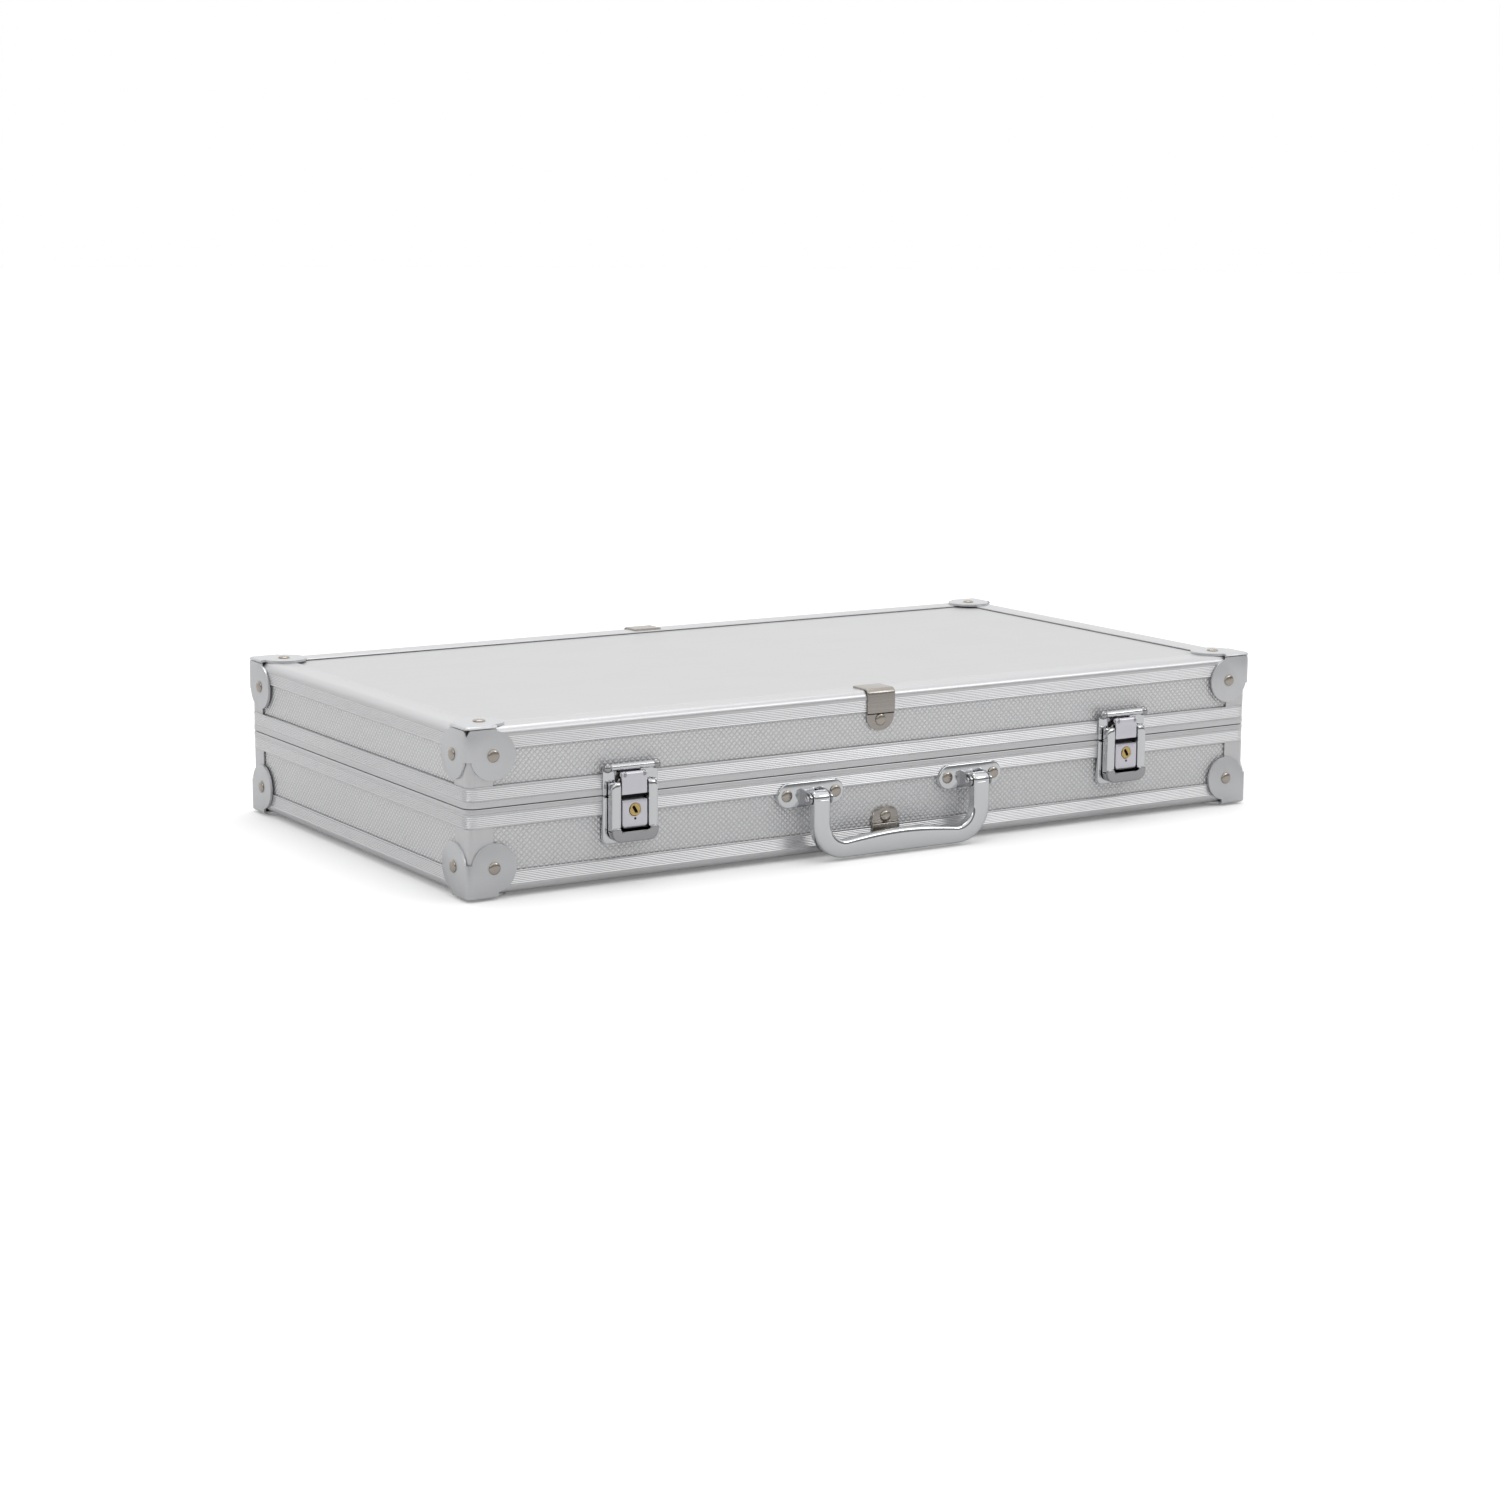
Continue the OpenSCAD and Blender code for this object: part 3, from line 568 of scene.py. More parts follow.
def metal(name, tint, rough, stretch, streak=0.08, cloud=0.06, lift=0.08, metallic=1.0):
    """A metal finish on Object coordinates, made from the grained metal group."""
    if name in bpy.data.materials:
        return bpy.data.materials[name]
    material, shader = finish(name, grained_metal, {
        "Colour": (*tint, 1), "Stretch": stretch, "Roughness": rough, "Streak": streak,
        "Cloud": cloud, "Lift": lift})
    shader["Metallic"].default_value = metallic
    return material


def embossed(look):
    """The walls' sheet: metal with painted shade in the valleys between the diamonds, darker
    by 0.3 times the square of the valley attribute, which is 1 down in the valleys, and 1.06 times
    as light elsewhere."""
    if "Embossed sheet" in bpy.data.materials:
        return bpy.data.materials["Embossed sheet"]
    material = metal("Embossed sheet", look.skin, 0.42, EVEN, 0.08, 0.05, 0.04, 0.75)
    g = Graph(material.node_tree)
    tint = g.nodes["Principled BSDF"].inputs["Base Color"]
    clean = tint.links[0].from_socket
    valley = g.node("ShaderNodeAttribute", attribute_name="valley").outputs["Fac"]
    # Painted shade: darkens the valleys, where the real sheet lies in shadow
    shade = g.maths("SUBTRACT", 1.06, g.maths("MULTIPLY", g.maths("POWER", valley, 2.0), 0.3))
    g.join(g.shaded(clean, shade), tint)
    return material


def flocking(look):
    """Black flocked foam, with a soft sheen of its fibres."""
    if "Flocked foam" in bpy.data.materials:
        return bpy.data.materials["Flocked foam"]
    material, shader = finish("Flocked foam", flocked_fibre, {"Colour": (*look.flock, 1)})
    shader["Roughness"].default_value = 0.95
    shader["Sheen Weight"].default_value = 0.5
    shader["Sheen Roughness"].default_value = 0.4
    return material


def finishes(context):
    """Every finish of the case, by its plain name. The grain runs along the axis whose stretch
    is small. The numbers are roughness, stretch, streak, cloud, lift and metallic."""
    look = context.scene.chip_case_look
    lengthways, crossways, upright = (40, 900, 2600), (900, 40, 2600), (900, 900, 40)
    return {
        "face": metal("Smooth face sheet", look.face, 0.42, (30, 900, 900), 0.05, 0.05, 0.03,
                      0.55),
        "skin": embossed(look),
        "trim": metal("Ribbed extrusion", look.trim, 0.38, lengthways, 0.1, 0.05, 0.04, 0.9),
        "side trim": metal("Ribbed extrusion, side", look.trim, 0.38, crossways, 0.1, 0.05, 0.04,
                           0.9),
        "post": metal("Plain extrusion", look.trim, 0.42, upright, 0.08, 0.06, 0.03, 0.85),
        "cap": metal("Zinc-plated steel", look.cap, 0.4, EVEN, 0.1, 0.1, 0.05, 0.85),
        "rivet": metal("Warm nickel", look.rivet, 0.24, EVEN, 0.06, 0.1, 0.03),
        "clip": metal("Dull nickel", look.clip, 0.27, (30, 3000, 3000), 0.2, 0.1, 0.1),
        "chrome": metal("Bright chrome", look.chrome, 0.1, EVEN, 0.02, 0.05, 0.0),
        # Painted shade: the bright chrome with a darker tint, standing in for darker reflections
        "pull": metal("Painted-shade chrome", look.pull, 0.14, EVEN, 0.02, 0.05, 0.0),
        "chrome sheet": metal("Chromed sheet", look.chrome, 0.2, (2600, 900, 60), 0.1, 0.08,
                              0.03),
        "lock": metal("Satin chrome", look.lock, 0.3, EVEN, 0.05, 0.05, 0.02, 0.8),
        "brass": metal("Brass", look.brass, 0.22, EVEN, 0.08, 0.1, 0.03),
        "hinge": metal("Hinge nickel", look.chrome, 0.28, EVEN, 0.08, 0.1, 0.03),
        # Painted shade: a near-black finish for the strip behind the hook, the dot on the lock and
        # the floor of the plug's keyway
        "dark": metal("Painted shade black", (0.01, 0.01, 0.01), 0.8, EVEN, metallic=0.0),
        "flock": flocking(look),
    }


# ---- Operators ----


class BuildStep:
    """What every building step of the case shares."""

    bl_options = {"REGISTER", "UNDO"}

    def execute(self, context):
        scene = context.scene
        self.build(sizes(scene.chip_case_shell), sizes(scene.chip_case_fittings),
                   finishes(context))
        return {"FINISHED"}


class CHIPCASE_OT_walls(BuildStep, Operator):
    """Builds the embossed wall boards and gives the lid and bottom boards their face sheet"""

    bl_idname = "chip_case.walls"
    bl_label = "Walls and faces"

    def build(self, s, f, look):
        for half in HALVES:
            for side in SIDES:
                self.wall(s, look, half, side)
            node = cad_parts[half + "_panel"]
            node.data.materials.clear()
            node.data.materials.append(look["face"])

    def wall(self, s, look, half, side):
        """A board whose face is a grid of half diamonds: every second point, where row plus
        column is odd, lies deep, and each cell is folded between its two deep points."""
        node = f"{half}_{side}_wall"
        low, high = box_mm(node)
        span = high[0] - low[0] if side in ("front", "back") else high[1] - low[1]
        z = sorted([low[2] - SEAM, high[2] - SEAM])
        n = round(span / s.emboss_x) * 2
        m = round((z[1] - z[0]) / s.emboss_z) * 2
        i, j = np.meshgrid(np.arange(n + 1), np.arange(m + 1), indexing="ij")
        deep = (i + j) % 2 == 1
        top = np.stack([
            -span / 2 + i * span / n, z[0] + j * (z[1] - z[0]) / m,
            np.where(deep, -s.emboss_deep, 0.0)], -1)
        shape = Shape().on_wall(side)
        shape.slab(top, -s.panel_t, deep, under=1)
        obj = shape.make(f"embossed_{half}_{side}", [look["skin"], look["flock"]], half,
                         "panel_skin", node, sharp=12)
        # The valley attribute carries the painted shade of the embossed sheet
        valley = np.zeros(shape.count, np.float32)
        valley[: deep.size] = deep.ravel()
        obj.data.attributes.new("valley", "FLOAT", "POINT").data.foreach_set("value", valley)


class CHIPCASE_OT_trims(BuildStep, Operator):
    """Builds the ribbed edge trims and the smooth corner posts"""

    bl_idname = "chip_case.trims"
    bl_label = "Trims and posts"

    def build(self, s, f, look):
        lap = s.skin_t + s.panel_t
        side = ribs(s.trim_side - 0.5, s.edge_r + 0.6, s.rib_pitch, s.rib_deep)
        nose = arc((s.edge_r, s.edge_r), s.edge_r, 180, 270, 6)
        lift = s.skin_t - s.lift
        face = [(s.trim_face - 1.5, 0), (s.trim_face - 1.3, 0.12), (s.trim_face - 1.1, 0),
                (s.trim_face - 0.25, 0), (s.trim_face, 0.25), (s.trim_face, lift),
                (s.trim_face - 1.5, lift), (s.trim_face - 1.7, s.skin_t)]
        inside = [(lap, s.skin_t), (lap, lap), (s.skin_t, lap), (s.skin_t, s.trim_side - 1.2),
                  (lift, s.trim_side - 1), (lift, s.trim_side), (0.2, s.trim_side),
                  (0, s.trim_side - 0.2)]
        section = np.concatenate([side[:, ::-1], nose, face, inside])
        profile = np.stack([section[:, 1], s.skin_t - section[:, 0]], 1)[::-1]
        profile[:, 0] += f.cap_t
        for half in HALVES:
            for where in SIDES:
                node = f"{half}_{where}_trim"
                low, high = box_mm(node)
                long = where in ("front", "back")
                reach = (high[0] - low[0] if long else high[1] - low[1]) / 2
                shape = Shape().on_wall(where, half=half)
                shape.skin(along_x(profile, -reach, reach, 0.02))
                shape.make(f"ribbed_{half}_{where}", [look["trim" if long else "side trim"]],
                           half, "trim", node)
            self.posts(s, f, look, half)

    def posts(self, s, f, look, half):
        """Each post is an L-shaped outline with a rounded nose, carried up from trim to rim."""
        c = f.cap_t
        far, thick = c + s.post_w, c + s.skin_t
        board, under = thick + s.panel_t, thick - s.lift
        outline = rounded([
            (c, c, s.edge_r), (far, c, 0.25), (far, under, 0), (far - 1.2, under, 0),
            (far - 1.3, thick, 0), (board, thick, 0), (board, board, 0), (thick, board, 0),
            (thick, far - 1.3, 0), (under, far - 1.2, 0), (under, far, 0), (c, far, 0.25)], 8)
        low, high = box_mm(f"{half}_corner_posts")
        start = c + s.trim_side
        end = (high[2] - low[2]) - (BAND[half][1] - BAND[half][0]) + s.rim_web + s.skin_t + c
        shape = Shape()
        for corner in CORNERS:
            shape.at_corner(*corner, half).skin(plate(outline, start, end, 0.05, 1))
        shape.make(f"smooth_posts_{half}", [look["post"]], half, "post",
                   f"{half}_corner_posts")


def band_heights():
    """Height of each rim's band above its half's outer face: (lower edge, seam edge)."""
    gap = LID_RIM[0][2] - SEAM
    return {
        "base": (BASE_RIM[0][2] - CAPS_LOW[2], SEAM - gap - CAPS_LOW[2]),
        "lid": (CAPS_HIGH[2] - LID_RIM[1][2], CAPS_HIGH[2] - LID_RIM[0][2])}


BAND = band_heights()


class CHIPCASE_OT_rims(BuildStep, Operator):
    """Builds the two ribbed rims that meet at the seam"""

    bl_idname = "chip_case.rims"
    bl_label = "Rims"

    nose_r = 0.35

    def build(self, s, f, look):
        """Each rim is one closed profile round the case: the ribbed band, a line drawn along
        it, the rounded nose at the seam and the webs that hold the boards."""
        proud = LID_RIM[1][0] - WALL_X
        for half in HALVES:
            low, top = BAND[half]
            edge = np.array([[proud - 0.5, low], [proud - 0.15, low + 0.12], [proud, low + 0.5]])
            grooves = ribs(low + 0.7, low + 5.0, s.rib_pitch, s.rib_deep)
            grooves = np.stack([proud - grooves[:, 1], grooves[:, 0]], 1)
            line = [[proud, low + 5.3], [proud - 0.22, low + 5.5], [proud - 0.22, low + 5.65],
                    [proud, low + 5.85]]
            nose = arc((proud - self.nose_r, top - self.nose_r), self.nose_r, 0, 90, 4)
            inner, web = -s.panel_t, s.rim_web
            if half == "base":
                gap, up = s.lip_gap, top + s.lip_h
                rest = [(inner - gap, top), (inner - gap, up - 0.2), (inner - gap - 0.2, up),
                        (inner - web, up), (inner - web, low), (inner, low), (inner, top - web)]
            else:
                rest = [(inner, top), (inner, top - web)]
            outer = np.concatenate([[[0, low + 1.2], [s.lift, low + 1], [s.lift, low]], edge,
                                    grooves, line, nose, rest, [[0, top - web]]])
            shape = Shape()
            base, up = HALVES[half]
            shape.put(np.diag([1, 1, up]), (0, MID_Y, base))
            shape.torus(self.rings(outer, s, proud))
            if half == "lid":
                cut = top - s.lip_h - s.lip_gap
                ledge = [(inner, low), (inner, cut), (inner - web, cut), (inner - web, low)]
                shape.torus(self.rings(ledge, s, proud))
            shape.make(f"ribbed_rim_{half}", [look["trim"]], half, "rim", f"{half}_rim")

    @staticmethod
    def rings(profile, s, proud):
        """For each profile point (distance out, height), a rounded rectangle round the case,
        whose corner radius shrinks with the distance inwards and is never under 0.3."""
        return np.array([
            at_height(oblong(2 * (WALL_X + out), 2 * (WALL_Y + out),
                             max(s.rim_r - proud + out, 0.3), n=9), h)
            for out, h in profile])


class CHIPCASE_OT_caps(BuildStep, Operator):
    """Builds the pressed corner caps, folded over all three edges"""

    bl_idname = "chip_case.caps"
    bl_label = "Corner caps"

    fold = 1.1
    bend = 2.2
    slit = {"lid": (0.3, 2.4), "base": (0.0, 0.0)}

    def build(self, s, f, look):
        for half in HALVES:
            shape = Shape()
            for corner in CORNERS:
                self.cap(shape.at_corner(*corner, half), f, *self.slit[half])
            obj = shape.make(f"pressed_caps_{half}", [look["cap"]], half, "cap",
                             f"{half}_corner_caps", sharp=40)
            mesh = bmesh.new()
            mesh.from_mesh(obj.data)
            bmesh.ops.remove_doubles(mesh, verts=mesh.verts, dist=0.01 * MM)
            mesh.to_mesh(obj.data)
            mesh.free()
            thick = obj.modifiers.new("Sheet", "SOLIDIFY")
            thick.thickness = f.cap_t * MM * 0.98
            thick.offset = -1
            soft = obj.modifiers.new("Pressed edge", "BEVEL")
            soft.width = 0.16 * MM
            soft.segments = 2
            soft.limit_method = "ANGLE"
            soft.angle_limit = math.radians(50)

    def cap(self, shape, f, gap, notch):
        """The top flap is its lobe and a strip folded down over a quarter circle of radius fold,
        which follows the two edges and the bend between them. The two side flaps start gap
        below it. They are their lobes, joined by a quarter cylinder of radius bend, whose upper
        edge dips to a notch."""
        r, b, wrap = self.fold, self.bend, f.wrap
        near = f.lobe_c - math.sqrt(f.lobe_r**2 - (wrap - f.lobe_c) ** 2)
        start = math.degrees(math.atan2(near - f.lobe_c, wrap - f.lobe_c))
        lobe = arc((f.lobe_c, f.lobe_c), f.lobe_r, start, 90 - start, 40)
        centre = (shape.place[0] / 2, (shape.place[1] + MID_Y) / 2, SEAM)
        corner = arc((b, b), b, 270, 180, 6)
        edge = np.concatenate([[[wrap, 0]], corner, [[0, wrap]]])
        inward = (np.array([b, b]) - corner) / b
        inward = np.concatenate([[[0, 1]], inward, [[1, 0]]])
        a = np.radians(np.linspace(0, 90, 5))[:, None]
        strip = np.concatenate([
            edge[None] + inward[None] * (r * (1 - np.sin(a)))[..., None],
            np.broadcast_to((r * (1 - np.cos(a)))[..., None], (len(a), len(edge), 1))], -1)
        i, quads = grid_faces(*strip.shape[:2])
        top = np.concatenate([i[0], np.arange(len(lobe)) + i.size])
        points = np.concatenate([strip.reshape(-1, 3), at_height(lobe[::-1], 0)])
        shape.add(points, [quads], 0, centre).add(points, [top], 0, centre)
        low = r + gap
        t = np.linspace(0, 1, len(corner))
        dip = low + notch * np.clip(1 - np.abs(2 * t - 1) * 1.3, 0, 1)
        bent = np.stack([at_height(corner, dip), at_height(corner, wrap)])
        shape.add(bent, [grid_faces(2, len(corner))[1]], 0, centre)
        flat = np.concatenate([[[b, wrap], [b, low], [wrap, low]], lobe])
        zero = np.zeros(len(flat))
        face = np.arange(len(flat))
        shape.add(np.column_stack([flat[:, 0], zero, flat[:, 1]]), [face], 0, centre)
        shape.add(np.column_stack([zero, flat[:, 0], flat[:, 1]]), [face], 0, centre)


class CHIPCASE_OT_clips(BuildStep, Operator):
    """Builds the edge clips, bent over the trims on to the walls"""

    bl_idname = "chip_case.clips"
    bl_label = "Edge clips"

    def build(self, s, f, look):
        """A strip that lies on the trim, bends over the edge, steps down to the wall and ends
        in a tongue of half width w (1 - k^2.5)^0.4. Across, its long edges are drawn in."""
        t = CLIP_T
        step = f.cap_t + s.trim_side
        out = s.skin_t + t
        bend = rounded([
            (s.skin_t - f.clip_face, f.cap_t - t, 0), (out, f.cap_t - t, 2.4),
            (out, step + 0.7, 0.5), (t, step + 0.9, 0.3), (t, f.clip_h, 0)], 7)
        tongue = f.clip_h - f.clip_w / 2
        cut = bend[bend[:, 1] < step + 1.2]
        down = np.sin(np.radians(np.linspace(0, 88, FLAT_RUN)))
        down = tongue + (f.clip_h - tongue) * down
        path = np.concatenate([cut, np.column_stack([np.full(FLAT_RUN, t), down])])
        k = np.clip((path[:, 1] - tongue) / (f.clip_h - tongue), 0, 1)
        half_w = f.clip_w / 2 * (1 - k**2.5) ** (1 / 2.5)
        half_w = np.maximum(half_w, 0.4)
        normal = np.gradient(path, axis=0)
        normal /= np.linalg.norm(normal, axis=1, keepdims=True)
        normal = np.stack([-normal[:, 1], normal[:, 0]], 1)
        u = np.array([-1, -0.97, -0.9, 0, 0.9, 0.97, 1])
        sink = t * np.array([0.35, 0.1, 0, 0, 0, 0.1, 0.35])
        front = path[:, None] + normal[:, None] * sink[None, :, None]
        back = path[:, None] + normal[:, None] * np.full((1, 2, 1), t * 0.98)
        x = half_w[:, None] * np.concatenate([u, [1, -1]])[None]
        across = np.concatenate([front, back], 1)
        rings = np.stack([x, across[..., 1], across[..., 0]], -1)
        for half in HALVES:
            shape = Shape()
            for side, x in clip_places(half):
                shape.on_wall(side, x, half).skin(rings)
            shape.make(f"bent_clips_{half}", [look["clip"]], half, "clip", f"{half}_clips")


def clip_places(half):
    """The wall of the front and of the back clip, and the place along it: the middle of the
    node's points on that side, turned about on the back, whose local x runs the other way."""
    points = np.array([v.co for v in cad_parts[half + "_clips"].data.vertices]) / MM
    front, back = ([float(p[:, 0].min() + p[:, 0].max()) / 2 for p in (
        points[points[:, 1] < MID_Y], points[points[:, 1] > MID_Y])])
    return ("front", front), ("back", -back)


class CHIPCASE_OT_rivets(BuildStep, Operator):
    """Builds the domed rivets of the caps and the clips"""

    bl_idname = "chip_case.rivets"
    bl_label = "Rivets"

    def build(self, s, f, look):
        head = dome(f.rivet_r, f.rivet_h)
        down = [(r, -z) for r, z in head]
        for half in HALVES:
            shape, c = Shape(), f.lobe_c
            for corner in CORNERS:
                shape.at_corner(*corner, half)
                for centre, axis in (((c, c, 0), "z"), ((c, 0, c), "y"), ((0, c, c), "x")):
                    shape.skin(turned(down, centre, axis))
            for side, x in clip_places(half):
                shape.on_wall(side, x, half).skin(turned(head, (0, CLIP_RIVET, CLIP_T)))
            shape.make(f"domed_rivets_{half}", [look["rivet"]], half, "rivet", f"{half}_rivets")


class CHIPCASE_OT_latches(BuildStep, Operator):
    """Builds both latches: plates, locks, levers, hooks and keepers"""

    bl_idname = "chip_case.latches"
    bl_label = "Latches"

    def build(self, s, f, look):
        for side, x in LATCHES:
            for part in (self.plate, self.lock, self.lever, self.hook, self.keeper):
                part(f, look, side, x)
        self.small(f, look)

    def plate(self, f, look, side, x):
        """A plate with rounded lower corners and its edges turned back to the wall, two upright
        ears round the lever's pivot, and a thin near-black strip of painted shade behind the gap of
        hook and lock."""
        shape = Shape().on_wall("front", x)
        w, h, step, top, hem = f.plate_w / 2, f.plate_h, RIM_EDGE + 0.1, -0.15, 0.3
        outline = rounded([(-w, -h, 2.2), (w, -h, 2.2), (w, step, 0), (w, top, hem),
                           (-w, top, hem), (-w, step, 0)])
        shape.skin(seated(plate(outline, WALL_FRONT, LATCH_FRONT, 0.7, 4)))
        ear = np.concatenate([[(-6, 2.0), (-6, 4.7)],
                              arc(LEVER_PIVOT, 1, 90, -90, 8), [(-0.4, 2.2)]])
        for m in (-1, 1):
            shape.skin(along_x(ear, m * EAR_X - 0.5, m * EAR_X + 0.5, 0.15))
        slot = oblong(f.window_w, 2.6, 0.4, 0, -1.6)
        # Painted shade: a near-black strip laid on the plate's face where the gap above the lock
        # lies in shadow
        shape.skin(plate(slot, LATCH_FRONT - 0.1, LATCH_FRONT + 0.04, 0.02, 1), 1)
        shape.make(f"folded_plate_{side}", [look["chrome sheet"], look["dark"]], "base", "chrome",
                   f"{side}_latch_plate")

    def lock(self, f, look, side, x):
        """The lock's front is a grid round the plug: from the bore out to the rounded outline,
        over its edge and back. The plug's front is a grid round the keyway in the same way."""
        body = oblong_round(f.tongue_w / 2, LOCK_LOW - LOCK_Z, LOCK_HIGH - LOCK_Z, 2.0, 0.6)
        bore = ring_of(f.plug_r + 0.12, len(body))
        shape = Shape().on_wall("front", x)
        shape.put(shape.turn, shape.place + np.array([0, 0, LOCK_Z]))
        front = LOCK_FRONT
        shape.skin(np.array([
            at_height(bore, 3.4), at_height(bore, front - 0.15), at_height(bore * 1.07, front),
            *(at_height(inset(body, d), h) for d, h in (
                (0.45, front), (0.2, front - 0.06), (0.04, front - 0.25), (0, front - 0.5),
                (0, 2.25)))]))
        shape.make(f"lock_front_{side}", [look["lock"]], "base", "lock", f"{side}_lock_body")
        # A near-black dot of painted shade on the lock's face
        dot = Shape().put(shape.turn, shape.place)
        dot.skin(turned([(0.5, front + 0.02), (0.42, front + 0.05), (0.3, front - 0.1),
                         (0.1, front - 0.2)], (0, -3.5, 0), n=16))
        dot.make(f"lock_dot_{side}", [look["dark"]], "base", "lock")
        lean = math.radians(32)
        turn = np.array([[math.cos(lean), math.sin(lean)], [-math.sin(lean), math.cos(lean)]])
        slot = oblong_round(0.62, -1.5, 1.75, 0.5, 0.5, 80) @ turn
        rim = ring_of(f.plug_r, len(slot)) @ turn
        plug = Shape().put(shape.turn, shape.place)
        plug.skin(np.array([
            at_height(outline * scale, height) for outline, scale, height in (
                (slot, 0.9, 4.3), (slot, 1, 4.4), (slot, 1, 5.85), (slot, 1.12, 5.93),
                (rim, 0.76, 5.93), (rim, 0.8, 6.0), (rim, 0.9, 6.0), (rim, 0.98, 5.85),
                (rim, 1, 5.6), (rim, 1, 3.5))]))
        # Painted shade: the keyway's floor and lower walls take the near-black finish
        plug.looks = [1 if min(face) < 2 * len(slot) else 0 for face in plug.faces]
        plug.make(f"brass_plug_{side}", [look["brass"], look["dark"]], f"{side}_lock_plug",
                  "brass", f"{side}_lock_plug")

    def lever(self, f, look, side, x):
        """Two channel-shaped legs, each lofted from its rounded shoulder down to the bar, with
        a flange behind its outer edge. The bar is a U-shaped plate with rounded edges, which
        stands proud for the finger."""
        wi, wo, r = f.window_w / 2, f.lever_w / 2, 3.2
        a = np.radians(np.linspace(80, 0, 8))
        down = [1, -2, -6, -10, LEVER_FOOT]
        straight = np.ones(len(down))
        z = np.concatenate([2.3 + r * np.sin(a), down])
        reach = np.concatenate([wo - r + r * np.cos(a), wo * straight])
        front = np.concatenate([LEVER_FRONT - 1.4 * (1 - np.cos(a)) ** 1.5,
                                LEVER_FRONT * straight])
        rear = np.minimum(np.where(z > 3.2, front - 1.1, 2.9), front - 0.6)
        across = np.array([0, 0, 0.04, 0.12, 0.3, 0.7, 0.88, 0.96, 1, 1, 0.8, 0.8, 0.2, 0.2])
        drop = np.array([9, 0.6, 0.25, 0.06, 0, 0, 0.06, 0.25, 0.6, 9, 9, 1.0, 1.0, 9])
        depth = np.maximum(front[:, None] - drop[None], rear[:, None])
        wide = wi + (reach - wi)[:, None] * across[None]
        flange = np.array([(-2, 4.9), (-2, 3.0), (3.7, 2.75), (4.6, 2.65), (5.4, 2.95),
                           (5.6, 3.8), (5.3, 4.4), (4.6, 4.8)])
        shape = Shape().on_wall("front", x)
        for m in (-1, 1):
            shape.skin(np.stack([m * wide, np.broadcast_to(z[:, None], wide.shape), depth], -1))
            middle = m * (wo - 0.45)
            # The flange takes the painted-shade chrome: a darker tint standing in for its darker
            # reflections
            shape.skin(along_x(flange, middle - 0.44, middle + 0.44, 0.1), 1)
        low, top, under, soft = -18.4, -12.6, -13.6, 0.55
        bar = rounded([
            (-wo, low, 4.2), (wo, low, 4.2), (wo, top, 1.1), (wi, top, 1.1), (wi, under, 0.9),
            (-wi, under, 0.9), (-wi, top, 1.1), (-wo, top, 1.1)], 9)
        # The bar takes the painted-shade chrome: a darker tint standing in for its darker
        # reflections
        shape.skin(plate(bar, 3.1, PULL_FRONT, soft, 5), 1)
        shape.make(f"bent_lever_{side}", [look["chrome"], look["pull"]], f"{side}_lever",
                   "chrome", f"{side}_lever")

    def hook(self, f, look, side, x):
        """A strip that leaves the eye round its pin, runs up and ends in an open curl with a
        ball in each end."""
        w = f.tongue_w / 2
        up = [(0.35, 5.0), (1.2, 5.1), (3, 5.1), (5.5, 5.1), (7.0, 5.1), (7.3, 5.2)]
        a = np.radians(np.linspace(-40, 250, 16))
        curl = np.array(HOOK_CURL) + 0.74 * np.stack([np.sin(a), np.cos(a)], 1)
        shape = Shape().on_wall("front", x)
        shape.skin(along_x(thick_line(np.concatenate([up, curl]), 0.8), -w, w, 0.12))
        ring = arc(HOOK_PIN, 1.0, 100, 395, 16)
        shape.skin(along_x(thick_line(ring, 0.62), -w + 0.1, w - 0.1, 0.1))
        for m in (-1, 1):
            ball = ball_cap(m * (w - 1.2), 1.35, -60, 60, 10)
            # The balls take the painted-shade chrome: a darker tint standing in for their darker
            # reflections
            shape.skin(turned(ball, (0, *HOOK_CURL), "x", 24), 1)
        shape.make(f"curled_hook_{side}", [look["lock"], look["pull"]], f"{side}_hook", "chrome",
                   f"{side}_hook")

    def keeper(self, f, look, side, x):
        """A plate whose upper edge is rolled forward, with a ball at each end of the roll."""
        w = f.plate_w / 2
        a = np.radians(np.linspace(180, -80, 16))
        roll = np.array(KEEPER_ROLL) + 1.12 * np.stack([np.sin(a), np.cos(a)], 1)
        path = np.concatenate([[(0.2, 1.84), (4, 1.84), (8, 1.84), (10, 1.84)], roll])
        shape = Shape().on_wall("front", x)
        shape.skin(along_x(thick_line(path, 0.74), -w, w, 0.15))
        for m in (-1, 1):
            ball = ball_cap(m * (w - 1.4), 1.99, -52, 80, 12)
            # The balls take the painted-shade chrome: a darker tint standing in for their darker
            # reflections
            shape.skin(turned(ball, (0, *KEEPER_ROLL), "x", 28), 1)
        shape.make(f"rolled_keeper_{side}", [look["chrome"], look["pull"]], "lid", "chrome",
                   f"{side}_keeper")

